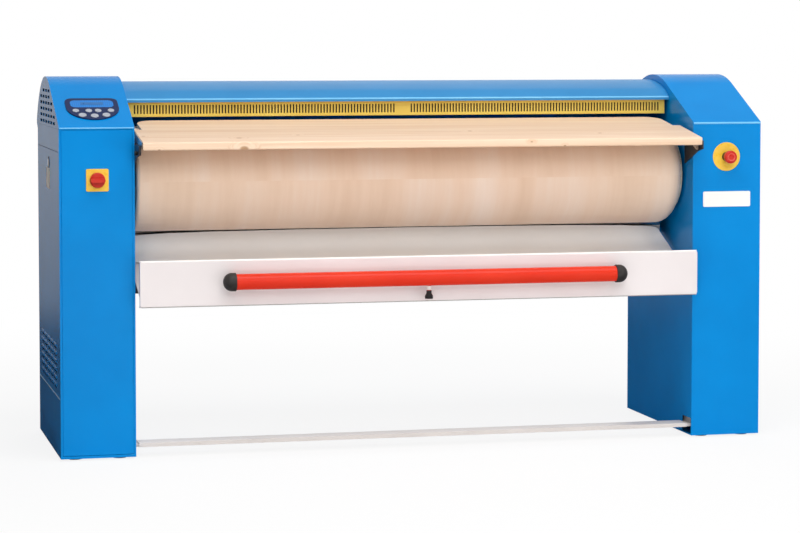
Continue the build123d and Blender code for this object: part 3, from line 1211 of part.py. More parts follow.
with BuildPart() as fan_impeller:
    wheel_back = FAN_X - FAN_WIDTH + FAN_WALL + IMPELLER_GAP
    with BuildSketch(side_plane(wheel_back)):
        disc((FAN_DEPTH, FAN_HEIGHT), IMPELLER_RADIUS)
    extrude(amount=IMPELLER_PLATE)
    with BuildSketch(side_plane(wheel_back)):
        with Locations((FAN_DEPTH, FAN_HEIGHT)):
            with PolarLocations((IMPELLER_RADIUS + FAN_INLET_RADIUS) / 2, IMPELLER_BLADES):
                blade = IMPELLER_RADIUS - FAN_INLET_RADIUS - 2 * FAN_WALL
                Rectangle(blade, IMPELLER_PLATE, rotation=BLADE_LEAN)
    extrude(amount=IMPELLER_WIDTH)
    with BuildSketch(side_plane(wheel_back + IMPELLER_WIDTH - IMPELLER_PLATE)):
        disc((FAN_DEPTH, FAN_HEIGHT), IMPELLER_RADIUS)
        disc((FAN_DEPTH, FAN_HEIGHT), FAN_INLET_RADIUS, Mode.SUBTRACT)
    extrude(amount=IMPELLER_PLATE)
    with BuildSketch(side_plane(wheel_back)):
        disc((FAN_DEPTH, FAN_HEIGHT), FAN_SHAFT_RADIUS)
    extrude(amount=-IMPELLER_GAP - FAN_WALL - FAN_MOTOR_LENGTH / 2 + PIN_HEAD)
keep(fan_impeller, "fan_impeller")

# Electrical plate and cable gland ----------------------------------------------------------------

with BuildPart() as electrical_panel:
    plate_low = -OUTER + SHEET + DOOR_FLANGE + LOCK_RADIUS
    plate_high = -ARM_IN - ARM_THICKNESS - PIN_HEAD
    with BuildSketch(front_plane(ELECTRIC_DEPTH)):
        span((plate_low, ELECTRIC_BOTTOM), (plate_high, ELECTRIC_TOP))
    extrude(amount=-ELECTRIC_THICKNESS)
    # Feet that carry the plate on the side frame
    with BuildSketch(front_plane(ELECTRIC_DEPTH)):
        with Locations((-FRAME_OUT - (-plate_high - FRAME_OUT) / 2, ELECTRIC_BOTTOM + FOOT_TAB),
                       (-FRAME_OUT - (-plate_high - FRAME_OUT) / 2, ELECTRIC_TOP - FOOT_TAB)):
            Rectangle(-plate_high - FRAME_OUT, FOOT_TAB)
    extrude(amount=-(FRAME_FRONT - ELECTRIC_DEPTH + FOOT_TAB))
    middle_x = (plate_low + plate_high) / 2
    with BuildSketch(front_plane(ELECTRIC_DEPTH)):
        with Locations((middle_x, ELECTRIC_TOP - CONTACTOR_HEIGHT)):
            with GridLocations(CONTACTOR_PITCH, CONTACTOR_HEIGHT, 3, 1):
                Rectangle(CONTACTOR_WIDTH, CONTACTOR_HEIGHT)
        with Locations((middle_x, ELECTRIC_BOTTOM + 2 * TERMINAL_HEIGHT)):
            Rectangle(2 * CONTACTOR_PITCH + CONTACTOR_WIDTH, TERMINAL_HEIGHT)
    extrude(amount=CONTACTOR_DEPTH)
keep(electrical_panel, "electrical_panel")

with BuildPart() as cable_gland:
    with BuildSketch(front_plane(CABINET_DEPTH)):
        with Locations((-CABINET_CENTRE, GLAND_HEIGHT)):
            RegularPolygon(GLAND_RADIUS, 6)
    extrude(amount=-GLAND_LENGTH)
    with BuildSketch(front_plane(CABINET_DEPTH)):
        disc((-CABINET_CENTRE, GLAND_HEIGHT), GLAND_THREAD_RADIUS)
    extrude(amount=SHEET + 2 * PIN_HEAD)
    with BuildSketch(front_plane(CABINET_DEPTH - SHEET)):
        with Locations((-CABINET_CENTRE, GLAND_HEIGHT)):
            RegularPolygon(GLAND_RADIUS, 6)
    extrude(amount=PIN_HEAD)
    with BuildSketch(front_plane(CABINET_DEPTH - SHEET - 2 * PIN_HEAD)):
        disc((-CABINET_CENTRE, GLAND_HEIGHT), GLAND_BORE)
    extrude(amount=-GLAND_LENGTH - SHEET - 2 * PIN_HEAD, mode=Mode.SUBTRACT)
keep(cable_gland, "cable_gland")

# Feed board --------------------------------------------------------------------------------------


def board_edge(depth, thickness):
    """Point on the board's underside at a depth, as (depth, height)."""
    return (depth, board_top(depth) - thickness)


def bevel_thickness(depth):
    """Thickness of the board on its bevelled underside."""
    share = (depth - BOARD_BEVEL_START) / (BOARD_BEVEL_END - BOARD_BEVEL_START)
    return BOARD_THICKNESS + share * (BOARD_THIN - BOARD_THICKNESS)


with BuildPart() as feed_board:
    with BuildSketch(side_plane(-BOARD_HALF_LENGTH)):
        Polygon((BOARD_FRONT, board_top(BOARD_FRONT)), board_edge(BOARD_FRONT, BOARD_THICKNESS),
                board_edge(BOARD_BEVEL_START, BOARD_THICKNESS), board_edge(BOARD_BEVEL_END, BOARD_THIN),
                board_edge(BOARD_REAR, BOARD_THIN), (BOARD_REAR, board_top(BOARD_REAR)), align=None)
    extrude(amount=2 * BOARD_HALF_LENGTH)
    # The rear part is narrower, with rounded corners
    with BuildSketch(Plane.XY.offset(FOLD_HEIGHT - CABINET_WIDTH)) as rear_trim:
        with Locations((0, FRONT_Y + (BOARD_STEP + BOARD_REAR) / 2)):
            Rectangle(2 * BOARD_HALF_LENGTH, BOARD_REAR - BOARD_STEP)
        with Locations((0, FRONT_Y + (BOARD_STEP + BOARD_REAR) / 2 - BOARD_CORNER)):
            narrow_length = BOARD_REAR - BOARD_STEP + 2 * BOARD_CORNER
            RectangleRounded(2 * BOARD_NARROW_HALF, narrow_length, BOARD_CORNER, mode=Mode.SUBTRACT)
    extrude(amount=CABINET_WIDTH * 2, mode=Mode.SUBTRACT)
    front_edges = feed_board.edges().filter_by(Axis.X).group_by(Axis.Y)[0]
    fillet(front_edges, radius=BOARD_ROUND)
keep(feed_board, "feed_board")

with BuildPart() as board_hinge_plates:
    for _, side in SIDES:
        with BuildSketch(side_plane(side * BOARD_HALF_LENGTH)):
            ear_front = BOARD_PIVOT_DEPTH - 2 * BOARD_KNOB_RADIUS
            Polygon(board_edge(BOARD_FRONT + 2 * BOARD_ROUND, HINGE_PLATE_INSET),
                    board_edge(ear_front, BOARD_THICKNESS + BOARD_KNOB_RADIUS),
                    (BOARD_PIVOT_DEPTH - BOARD_KNOB_RADIUS, BOARD_PIVOT_HEIGHT - BOARD_KNOB_RADIUS),
                    (BOARD_PIVOT_DEPTH + BOARD_KNOB_RADIUS, BOARD_PIVOT_HEIGHT - BOARD_KNOB_RADIUS),
                    board_edge(BOARD_BEVEL_START, BOARD_THICKNESS),
                    board_edge(BOARD_BEVEL_START, HINGE_PLATE_INSET), align=None)
            disc((BOARD_PIVOT_DEPTH, BOARD_PIVOT_HEIGHT), BOARD_PIN_RADIUS + RUN, Mode.SUBTRACT)
        extrude(amount=side * HINGE_PLATE)
keep(board_hinge_plates, "board_hinge_plates")

with BuildPart() as board_brackets:
    for _, side in SIDES:
        with BuildSketch(side_plane(side * INNER)):
            Polygon((BOARD_FRONT + BRACKET_INSET, BRACKET_TOP), (BOARD_FRONT + BRACKET_INSET, BRACKET_LOW),
                    (BOARD_PIVOT_DEPTH + BRACKET_INSET / 2, BRACKET_LOW - BRACKET_INSET / 2),
                    (BRACKET_REAR, BRACKET_BOTTOM), (BRACKET_REAR, BRACKET_TOP), align=None)
            disc((BOARD_PIVOT_DEPTH, BOARD_PIVOT_HEIGHT), BOARD_PIN_RADIUS, Mode.SUBTRACT)
        extrude(amount=-side * BRACKET_PLATE)
        # Tab under the board's end, which the board lies on
        tab_front = BRACKET_REAR - REST_TAB
        with BuildSketch(side_plane(side * INNER)):
            Polygon((tab_front, BRACKET_TOP - BRACKET_INSET), (BRACKET_REAR, BRACKET_TOP - BRACKET_INSET),
                    board_edge(BRACKET_REAR, bevel_thickness(BRACKET_REAR) + SEAT),
                    board_edge(tab_front, bevel_thickness(tab_front) + SEAT), align=None)
        extrude(amount=-side * REST_REACH)
keep(board_brackets, "board_brackets")

with BuildPart() as board_pivot_knobs:
    for _, side in SIDES:
        with BuildSketch(side_plane(side * INNER)):
            disc((BOARD_PIVOT_DEPTH, BOARD_PIVOT_HEIGHT), BOARD_KNOB_RADIUS)
        extrude(amount=side * BOARD_KNOB_LENGTH)
        with BuildSketch(side_plane(side * INNER)):
            disc((BOARD_PIVOT_DEPTH, BOARD_PIVOT_HEIGHT), BOARD_PIN_RADIUS)
        extrude(amount=-side * (INNER - BOARD_HALF_LENGTH))
keep(board_pivot_knobs, "board_pivot_knobs")

# Delivery chute and its trip bar -----------------------------------------------------------------

CHUTE_INNER_WALL = CHUTE_FRONT + CHUTE_WALL_WIDTH
with BuildPart() as delivery_chute:
    half = CHUTE_SHEET / 2
    with BuildSketch(side_plane(-CHUTE_HALF_LENGTH)):
        bent_sheet([(CHUTE_REAR, chute_height(CHUTE_REAR)), (CHUTE_INNER_WALL, CHUTE_FLOOR_FRONT),
                    (CHUTE_INNER_WALL, CHUTE_RIM - half), (CHUTE_FRONT + half, CHUTE_RIM - half),
                    (CHUTE_FRONT + half, CHUTE_BOTTOM + half),
                    (CHUTE_FRONT + CHUTE_RETURN, CHUTE_BOTTOM + half)],
                   [CHUTE_BEND, CHUTE_RIM_ROUND, CHUTE_RIM_ROUND, CHUTE_BEND], CHUTE_SHEET)
    extrude(amount=2 * CHUTE_HALF_LENGTH)
    # End caps of the folded front, and its rounded outer corners
    for _, side in SIDES:
        with BuildSketch(side_plane(side * CHUTE_HALF_LENGTH)):
            span((CHUTE_FRONT + half, CHUTE_BOTTOM + half), (CHUTE_INNER_WALL, CHUTE_RIM - half))
        extrude(amount=-side * CHUTE_SHEET)
    front_height = CHUTE_RIM - CHUTE_BOTTOM
    with BuildSketch(front_plane(CHUTE_FRONT)):
        with Locations((0, CHUTE_BOTTOM + front_height / 2)):
            Rectangle(2 * CHUTE_HALF_LENGTH, front_height)
            RectangleRounded(2 * CHUTE_HALF_LENGTH, front_height, CHUTE_CORNER, mode=Mode.SUBTRACT)
    extrude(amount=-CHUTE_SHEET - CHUTE_BEND, mode=Mode.SUBTRACT)
    # Holes for the bar's two guide bushes
    with BuildSketch(front_plane(CHUTE_FRONT)):
        with Locations((-BAR_GUIDE_OFFSET, BAR_HEIGHT), (BAR_GUIDE_OFFSET, BAR_HEIGHT)):
            Circle(BUSH_RADIUS + RUN)
    extrude(amount=-CHUTE_WALL_WIDTH - CHUTE_SHEET, mode=Mode.SUBTRACT)
keep(delivery_chute, "delivery_chute")

with BuildPart() as bar_bushes:
    with BuildSketch(front_plane(CHUTE_FRONT)):
        for guide_x in (-BAR_GUIDE_OFFSET, BAR_GUIDE_OFFSET):
            disc((guide_x, BAR_HEIGHT), BUSH_RADIUS)
            disc((guide_x, BAR_HEIGHT), BAR_ROD_RADIUS + RUN, Mode.SUBTRACT)
    extrude(amount=-BUSH_LENGTH)
    with BuildSketch(front_plane(CHUTE_FRONT)):
        for guide_x in (-BAR_GUIDE_OFFSET, BAR_GUIDE_OFFSET):
            disc((guide_x, BAR_HEIGHT), BUSH_RADIUS + PIN_HEAD)
            disc((guide_x, BAR_HEIGHT), BAR_ROD_RADIUS + RUN, Mode.SUBTRACT)
    extrude(amount=BUSH_FLANGE)
keep(bar_bushes, "bar_bushes")

with BuildPart() as knee_bar:
    with BuildSketch(side_plane(-BAR_HALF_LENGTH)):
        disc((-BAR_AHEAD, BAR_HEIGHT), BAR_RADIUS)
        disc((-BAR_AHEAD, BAR_HEIGHT), BAR_RADIUS - BAR_WALL, Mode.SUBTRACT)
    extrude(amount=2 * BAR_HALF_LENGTH)
    # Guide rods out of its back, and the guide hole of the knob's stem in its underside
    with BuildSketch(front_plane(-BAR_AHEAD)):
        with Locations((-BAR_GUIDE_OFFSET, BAR_HEIGHT), (BAR_GUIDE_OFFSET, BAR_HEIGHT)):
            Circle(BAR_ROD_RADIUS)
    extrude(amount=-(BAR_AHEAD + CHUTE_FRONT + BUSH_LENGTH - BAR_TRAVEL - PIN_HEAD / 2))
    with BuildSketch(Plane.XY.offset(BAR_HEIGHT - BAR_RADIUS - BAR_KNOB_COLLAR_LENGTH)):
        disc((0, FRONT_Y - BAR_AHEAD), BAR_KNOB_COLLAR_RADIUS)
    extrude(amount=BAR_KNOB_COLLAR_LENGTH + BAR_WALL)
    with BuildSketch(Plane.XY.offset(BAR_HEIGHT - BAR_RADIUS - BAR_KNOB_COLLAR_LENGTH)):
        disc((0, FRONT_Y - BAR_AHEAD), BAR_KNOB_STEM_RADIUS + RUN)
    extrude(amount=BAR_KNOB_COLLAR_LENGTH + 2 * BAR_WALL, mode=Mode.SUBTRACT)
keep(knee_bar, "knee_bar")

with BuildPart() as knee_bar_caps:
    for _, side in SIDES:
        with BuildSketch(side_plane(side * BAR_HALF_LENGTH)):
            disc((-BAR_AHEAD, BAR_HEIGHT), BAR_CAP_RADIUS)
        extrude(amount=side * BAR_CAP_LENGTH)
        with BuildSketch(side_plane(side * (BAR_HALF_LENGTH - CAP_SPIGOT))):
            disc((-BAR_AHEAD, BAR_HEIGHT), BAR_RADIUS - BAR_WALL - RUN)
        extrude(amount=side * CAP_SPIGOT)
    cap_rims = knee_bar_caps.edges().filter_by(GeomType.CIRCLE).group_by(Axis.X)
    fillet(cap_rims[0] + cap_rims[-1], radius=BAR_CAP_ROUND)
keep(knee_bar_caps, "knee_bar_caps")

with BuildPart() as bar_knob:
    knob_top = BAR_HEIGHT - BAR_RADIUS - BAR_KNOB_COLLAR_LENGTH - SEAT
    knob_section = Plane(origin=(0, FRONT_Y - BAR_AHEAD, knob_top), x_dir=(1, 0, 0), z_dir=(0, -1, 0))
    with BuildSketch(knob_section):
        Polygon((0, 0), (BAR_KNOB_NECK_RADIUS, 0), (BAR_KNOB_NECK_RADIUS, -BAR_KNOB_LENGTH / 3),
                (BAR_KNOB_RADIUS, -BAR_KNOB_LENGTH * 2 / 3), (BAR_KNOB_RADIUS, -BAR_KNOB_LENGTH),
                (0, -BAR_KNOB_LENGTH), align=None)
    revolve(axis=Axis((0, FRONT_Y - BAR_AHEAD, 0), (0, 0, 1)))
    fillet(bar_knob.edges().filter_by(GeomType.CIRCLE).group_by(Axis.Z)[0], radius=HINGE_PLATE)
    with BuildSketch(Plane.XY.offset(knob_top)):
        disc((0, FRONT_Y - BAR_AHEAD), BAR_KNOB_STEM_RADIUS)
    extrude(amount=BAR_KNOB_COLLAR_LENGTH + BAR_WALL + 2 * BAR_KNOB_TRAVEL)
keep(bar_knob, "bar_knob")

# Foot bar ----------------------------------------------------------------------------------------

with BuildPart() as foot_bar:
    with BuildSketch(side_plane(-FOOT_HALF_LENGTH)):
        span((FOOT_FRONT, FOOT_TOP - FOOT_SHEET), (FOOT_REAR, FOOT_TOP))
        span((FOOT_FRONT, FOOT_TOP - FOOT_LIP), (FOOT_FRONT + FOOT_SHEET, FOOT_TOP))
        span((FOOT_REAR - FOOT_SHEET, FOOT_TOP - FOOT_LIP), (FOOT_REAR, FOOT_TOP))
    extrude(amount=2 * FOOT_HALF_LENGTH)
    for _, side in SIDES:
        with BuildSketch(side_plane(side * (FOOT_HALF_LENGTH - FOOT_TAB_INSET))):
            span((FOOT_FRONT + FOOT_TAB_INSET, FOOT_TOP - FOOT_LIP),
                 (FOOT_REAR - FOOT_TAB_INSET / 2, FOOT_TOP - FOOT_SHEET))
        extrude(amount=side * (ARM_IN + FOOT_ARM_THICKNESS - FOOT_HALF_LENGTH + FOOT_TAB_INSET))
        with BuildSketch(side_plane(side * ARM_IN)):
            with BuildSketch(mode=Mode.ADD):
                disc((FOOT_REAR - FOOT_ARM_WIDTH, FOOT_TOP), FOOT_LIP)
                disc((FOOT_PIVOT_DEPTH, FOOT_PIVOT_HEIGHT), FOOT_ARM_WIDTH / 2)
                make_hull()
            disc((FOOT_PIVOT_DEPTH, FOOT_PIVOT_HEIGHT), FOOT_PIN_RADIUS + RUN, Mode.SUBTRACT)
        extrude(amount=side * FOOT_ARM_THICKNESS)
keep(foot_bar, "foot_bar")

# Control panel -----------------------------------------------------------------------------------

with BuildPart() as control_panel:
    with BuildSketch(slope_plane(0)) as panel_face:
        with Locations((-PANEL_CENTRE, PANEL_ARC_CENTRE)):
            Circle(PANEL_RADIUS)
        panel_left = -PANEL_CENTRE - PANEL_RADIUS
        panel_right = -PANEL_CENTRE + PANEL_RADIUS
        span((panel_left, PANEL_ARC_CENTRE), (panel_right, PANEL_TOP))
        span((panel_left, PANEL_TOP), (panel_right, PANEL_TOP + PANEL_RADIUS), Mode.SUBTRACT)
        fillet(panel_face.vertices().group_by(Axis.Y)[-1], radius=PANEL_CORNER)
        for centre, key_radius in KEYS:
            disc(centre, key_radius + KEY_GAP, Mode.SUBTRACT)
    extrude(amount=PANEL_THICKNESS)
    with BuildSketch(slope_plane(PANEL_THICKNESS)):
        with Locations((-PANEL_CENTRE, (DISPLAY_BOTTOM + DISPLAY_TOP) / 2)):
            RectangleRounded(2 * DISPLAY_HALF_WIDTH, DISPLAY_TOP - DISPLAY_BOTTOM, DISPLAY_ROUND)
    extrude(amount=-DISPLAY_THICKNESS, mode=Mode.SUBTRACT)
keep(control_panel, "control_panel")

with BuildPart() as display_window:
    with BuildSketch(slope_plane(PANEL_THICKNESS - DISPLAY_THICKNESS)):
        with Locations((-PANEL_CENTRE, (DISPLAY_BOTTOM + DISPLAY_TOP) / 2)):
            window_height = DISPLAY_TOP - DISPLAY_BOTTOM - 2 * SEAT
            RectangleRounded(2 * (DISPLAY_HALF_WIDTH - SEAT), window_height, DISPLAY_ROUND)
    extrude(amount=DISPLAY_THICKNESS)
keep(display_window, "display_window")

for index, (centre, key_radius) in enumerate(KEYS, start=1):
    with BuildPart() as key:
        with BuildSketch(slope_plane(KEY_BASE)):
            disc(centre, key_radius)
        extrude(amount=KEY_TOP - KEY_BASE)
        fillet(key.edges().filter_by(GeomType.CIRCLE).sort_by(Axis.Z)[-1], radius=KEY_ROUND)
    keep(key, f"panel_key_{index}")

# Main switch and emergency stop ------------------------------------------------------------------

with BuildPart() as switch_plates:
    with BuildSketch(front_plane(0)):
        with Locations((-SWITCH_CENTRE, SWITCH_HEIGHT)):
            RectangleRounded(SWITCH_PLATE, SWITCH_PLATE, SWITCH_PLATE_ROUND)
            Circle(SWITCH_SHAFT_RADIUS + RUN, mode=Mode.SUBTRACT)
    extrude(amount=SWITCH_PLATE_THICKNESS)
    with BuildSketch(front_plane(0)):
        with Locations((STOP_CENTRE, STOP_HEIGHT)):
            Circle(STOP_PLATE_RADIUS)
            Circle(STOP_SHANK_RADIUS, mode=Mode.SUBTRACT)
    extrude(amount=STOP_PLATE_THICKNESS)
keep(switch_plates, "switch_plates")

with BuildPart() as main_switch_knob:
    knob_face = -SWITCH_PLATE_THICKNESS - SEAT
    with BuildSketch(front_plane(knob_face)):
        disc((-SWITCH_CENTRE, SWITCH_HEIGHT), SWITCH_KNOB_RADIUS)
    extrude(amount=SWITCH_KNOB_BASE)
    fillet(main_switch_knob.edges().filter_by(GeomType.CIRCLE).group_by(Axis.Y)[0], radius=HINGE_PLATE)
    with BuildSketch(front_plane(knob_face)):
        with Locations((-SWITCH_CENTRE, SWITCH_HEIGHT)):
            RectangleRounded(SWITCH_GRIP_LENGTH, SWITCH_GRIP_WIDTH, SWITCH_GRIP_ROUND)
    extrude(amount=SWITCH_GRIP_HEIGHT)
    with BuildSketch(front_plane(knob_face)):
        disc((-SWITCH_CENTRE, SWITCH_HEIGHT), SWITCH_SHAFT_RADIUS)
    extrude(amount=-SWITCH_SHAFT_LENGTH)
keep(main_switch_knob, "main_switch_knob")

with BuildPart() as stop_stem:
    head_back = -STOP_REACH + STOP_HEAD_LENGTH
    with BuildSketch(front_plane(head_back + SEAT)):
        disc((STOP_CENTRE, STOP_HEIGHT), STOP_STEM_RADIUS)
    extrude(amount=head_back + SEAT - STOP_STEM_END)
    with BuildSketch(front_plane(head_back + SEAT)):
        disc((STOP_CENTRE, STOP_HEIGHT), STOP_NECK_RADIUS)
    extrude(amount=STOP_NECK_LENGTH)
keep(stop_stem, "stop_stem")

with BuildPart() as stop_head:
    with BuildSketch(front_plane(head_back)):
        disc((STOP_CENTRE, STOP_HEIGHT), STOP_HEAD_RADIUS)
    extrude(amount=STOP_HEAD_LENGTH)
    stop_rims = stop_head.edges().filter_by(GeomType.CIRCLE).group_by(Axis.Y)
    fillet(stop_rims[0], radius=STOP_HEAD_ROUND)
    fillet(stop_head.edges().filter_by(GeomType.CIRCLE).group_by(Axis.Y)[-1], radius=HINGE_PLATE)
    with BuildSketch(front_plane(head_back)):
        disc((STOP_CENTRE, STOP_HEIGHT), STOP_NECK_RADIUS + RUN)
    extrude(amount=STOP_NECK_LENGTH + SEAT, mode=Mode.SUBTRACT)
keep(stop_head, "stop_head")

with BuildPart() as switch_blocks:
    # Main switch body behind the front panel
    with BuildSketch(front_plane(SHEET)):
        with Locations((-SWITCH_CENTRE, SWITCH_HEIGHT)):
            Rectangle(SWITCH_BODY, SWITCH_BODY)
            Circle(SWITCH_SHAFT_RADIUS + RUN, mode=Mode.SUBTRACT)
    extrude(amount=-SWITCH_SHAFT_LENGTH - SWITCH_BODY / 4)
    # Emergency stop: collar in front of its plate, contact block behind the sheet
    with BuildSketch(front_plane(-STOP_PLATE_THICKNESS)):
        with Locations((STOP_CENTRE, STOP_HEIGHT)):
            Circle(STOP_COLLAR_RADIUS)
            Circle(STOP_STEM_RADIUS + RUN, mode=Mode.SUBTRACT)
    extrude(amount=STOP_COLLAR_LENGTH)
    with BuildSketch(front_plane(-STOP_PLATE_THICKNESS)):
        with Locations((STOP_CENTRE, STOP_HEIGHT)):
            Circle(STOP_SHANK_RADIUS - RUN)
            Circle(STOP_STEM_RADIUS + RUN, mode=Mode.SUBTRACT)
    extrude(amount=-STOP_PLATE_THICKNESS - SHEET)
    with BuildSketch(front_plane(SHEET)):
        with Locations((STOP_CENTRE, STOP_HEIGHT)):
            Rectangle(SWITCH_BODY, SWITCH_BODY)
            Circle(STOP_STEM_RADIUS + RUN, mode=Mode.SUBTRACT)
    extrude(amount=-STOP_STEM_END - STOP_TRAVEL)
keep(switch_blocks, "switch_blocks")
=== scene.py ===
"""Looks of the flatwork ironer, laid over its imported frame.

Metres, in the frame's axes: +X to the operator's right, +Y to the back, +Z up, the origin on the floor
in the middle of the machine. Depths are counted backwards from the cabinets' front faces.
"""
import json
import logging
from dataclasses import dataclass
from enum import Enum
from math import asin, atan2, hypot, pi, radians, sin
from typing import Callable, Optional, Sequence, Union

import bmesh
import bpy
from mathutils import Matrix, Vector

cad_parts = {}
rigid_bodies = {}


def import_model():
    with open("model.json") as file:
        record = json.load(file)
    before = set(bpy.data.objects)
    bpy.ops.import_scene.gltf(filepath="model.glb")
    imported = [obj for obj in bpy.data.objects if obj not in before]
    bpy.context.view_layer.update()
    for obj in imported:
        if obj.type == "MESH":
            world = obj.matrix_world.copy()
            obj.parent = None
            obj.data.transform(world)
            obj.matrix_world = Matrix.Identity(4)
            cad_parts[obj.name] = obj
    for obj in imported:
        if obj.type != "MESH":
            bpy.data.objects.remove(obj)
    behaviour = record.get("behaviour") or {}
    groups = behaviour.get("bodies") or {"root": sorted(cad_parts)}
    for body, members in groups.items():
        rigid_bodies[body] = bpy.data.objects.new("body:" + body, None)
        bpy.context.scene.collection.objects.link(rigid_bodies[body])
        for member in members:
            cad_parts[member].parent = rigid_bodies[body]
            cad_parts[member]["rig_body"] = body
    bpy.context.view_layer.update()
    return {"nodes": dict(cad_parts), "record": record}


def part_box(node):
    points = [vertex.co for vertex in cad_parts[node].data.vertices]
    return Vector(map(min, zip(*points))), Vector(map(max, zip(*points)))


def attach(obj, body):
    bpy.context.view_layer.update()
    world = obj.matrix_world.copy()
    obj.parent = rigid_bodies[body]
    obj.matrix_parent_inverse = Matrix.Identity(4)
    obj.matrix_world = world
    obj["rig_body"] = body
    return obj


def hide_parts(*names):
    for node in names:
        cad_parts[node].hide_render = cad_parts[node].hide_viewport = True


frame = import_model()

log = logging.getLogger("ironer")

FRONT_Y = -0.28175
SIDES = (("left", -1), ("right", 1))
# An edge runs along an axis above the first cosine, and across it below the second.
ALONG, ACROSS = 0.9, 0.1
# A part of a mesh counts as on a plane when it is as near as this.
NEAR = 1e-4

Point = tuple[float, float, float]
Colour = tuple[float, float, float, float]
Stops = Sequence[tuple[float, str]]
Piece = bpy.types.Object
Tree = bpy.types.NodeTree
Output = Union[bpy.types.NodeSocket, bpy.types.Node]
Test = Callable[[Vector, Vector], bool]


def at(depth: float) -> float:
    """Y of a depth behind the cabinets' front faces."""
    return FRONT_Y + depth


def placed(point: Point) -> Point:
    """Frame's place of a point that is given by X, its depth and Z."""
    return point[0], at(point[1]), point[2]


def linear(shade: str) -> Colour:
    """Turn an sRGB hex colour to the linear colour that a socket takes.

    Args:
        shade: The hex colour.

    Returns:
        Its linear parts, and full alpha.
    """
    parts = (int(shade[place:place + 2], 16) / 255 for place in (1, 3, 5))
    red, green, blue = (part / 12.92 if part <= 0.04045 else ((part + 0.055) / 1.055) ** 2.4 for part in parts)
    return red, green, blue, 1.0


def add_node(tree: Tree, kind: str, inputs: Optional[dict] = None,
             stops: Stops = (), **settings) -> bpy.types.Node:
    """Add a node with its settings and links.

    Args:
        tree: Node tree that the node goes in.
        kind: Type of node, without the ShaderNode that its full name starts with.
        inputs: Socket names or numbers, and what each takes: a value, an output, or a node for its first output.
        stops: Places and hex colours, for a colour ramp.
        settings: Properties of the node itself.

    Returns:
        The node.
    """
    node = tree.nodes.new("ShaderNode" + kind)
    for name, value in settings.items():
        setattr(node, name, value)
    for socket, value in (inputs or {}).items():
        if isinstance(value, bpy.types.Node):
            value = value.outputs[0]
        if isinstance(value, bpy.types.NodeSocket):
            tree.links.new(value, node.inputs[socket])
        else:
            node.inputs[socket].default_value = value
    for number, (place, shade) in enumerate(stops):
        elements = node.color_ramp.elements
        element = elements[number] if number < 2 else elements.new(place)
        element.position, element.color = place, linear(shade)
    return node


def empty_tree(owner: Union[bpy.types.Material, bpy.types.World]) -> Tree:
    """Give a material or a world an empty node tree.

    Args:
        owner: The material or the world.

    Returns:
        The node tree.
    """
    owner.use_nodes = True
    owner.node_tree.nodes.clear()
    return owner.node_tree


def surface(tree: Tree, colour: Union[Output, tuple[Output, Stops]],
            rough: Union[float, tuple[Output, float, float, float, float]],
            relief: tuple = (), sockets: Optional[dict] = None) -> None:
    """End a tree in a principled surface.

    Args:
        tree: The tree.
        colour: Output that gives the colour, or one that grades between stops.
        rough: Roughness, or the output that gives it, its two ends and the roughness at each.
        relief: Output that gives the height, the bump's strength and depth, and the bump under it.
        sockets: Further sockets of the shader and what each takes.
    """
    taken = {"Base Color": colour, "Roughness": rough, **(sockets or {})}
    if isinstance(colour, tuple):
        taken["Base Color"] = add_node(tree, "ValToRGB", {"Fac": colour[0]}, colour[1])
    if isinstance(rough, tuple):
        taken["Roughness"] = add_node(tree, "MapRange", dict(zip(("Value", 1, 2, 3, 4), rough)))
    if relief:
        taken["Normal"] = add_node(tree, "Bump", dict(zip(("Height", "Strength", "Distance", "Normal"), relief)))
    add_node(tree, "OutputMaterial", {"Surface": add_node(tree, "BsdfPrincipled", taken)})


class Grain(Enum):
    """How a metal surface was worked, as the stretch of its marks along X, Y and Z."""

    BRUSHED_ACROSS = (0.02, 1.0, 1.0)
    GROUND = (0.05, 1.0, 1.0)
    ROLLED = (0.3, 0.6, 0.6)
    TURNED = (1.0, 1.0, 1.0)


@dataclass(frozen=True)
class Finish:
    """A finish: a real material and how its surface was made."""

    name: str

    def material(self) -> bpy.types.Material:
        """Build the finish's material once and give it back after that.

        Returns:
            The material.
        """
        made = bpy.data.materials.get(self.name)
        if made is None:
            made = bpy.data.materials.new(self.name)
            tree = empty_tree(made)
            self.shade_nodes(tree, self.coordinates(tree))
        return made

    def coordinates(self, tree: Tree) -> Output:
        """Where the patterns lie: in the object's own axes, in metres."""
        return add_node(tree, "TexCoord").outputs["Object"]

    def shade_nodes(self, tree: Tree, place: Output) -> None:
        """Fill the material's node tree.

        Args:
            tree: The tree, empty but for the node of the place.
            place: Coordinates that the patterns are laid by.
        """
        raise NotImplementedError


@dataclass(frozen=True)
class PowderCoat(Finish):
    """Powder coat baked on sheet steel: an even satin colour over a fine orange peel.

    The peel's 1.4 mm cells are drawn at 3 mm, the least that shows from across a room, and a slow
    drift of the shade over a hand's width stands for the film's changing thickness.
    """

    shade: str
    pale: str
    peel: float = 0.003
    roughness: float = 0.25
    specular: float = 0.24

    def shade_nodes(self, tree: Tree, place: Output) -> None:
        """Fill the material's node tree.

        Args:
            tree: The node tree.
            place: Coordinates that the patterns are laid by.
        """
        drift = add_node(tree, "TexNoise", {"Vector": place, "Scale": 5.0, "Detail": 3.0})
        rub = add_node(tree, "TexNoise", {"Vector": place, "Scale": 22.0, "Detail": 2.0})
        cells = add_node(tree, "TexNoise", {"Vector": place, "Scale": 1 / self.peel, "Detail": 1.0})
        surface(tree, (drift, [(0.35, self.shade), (0.7, self.pale)]),
                (rub, 0.3, 0.75, self.roughness - 0.008, self.roughness + 0.012), (cells, 0.012, 0.0003),
                {"IOR": 1.5, "Specular IOR Level": self.specular})


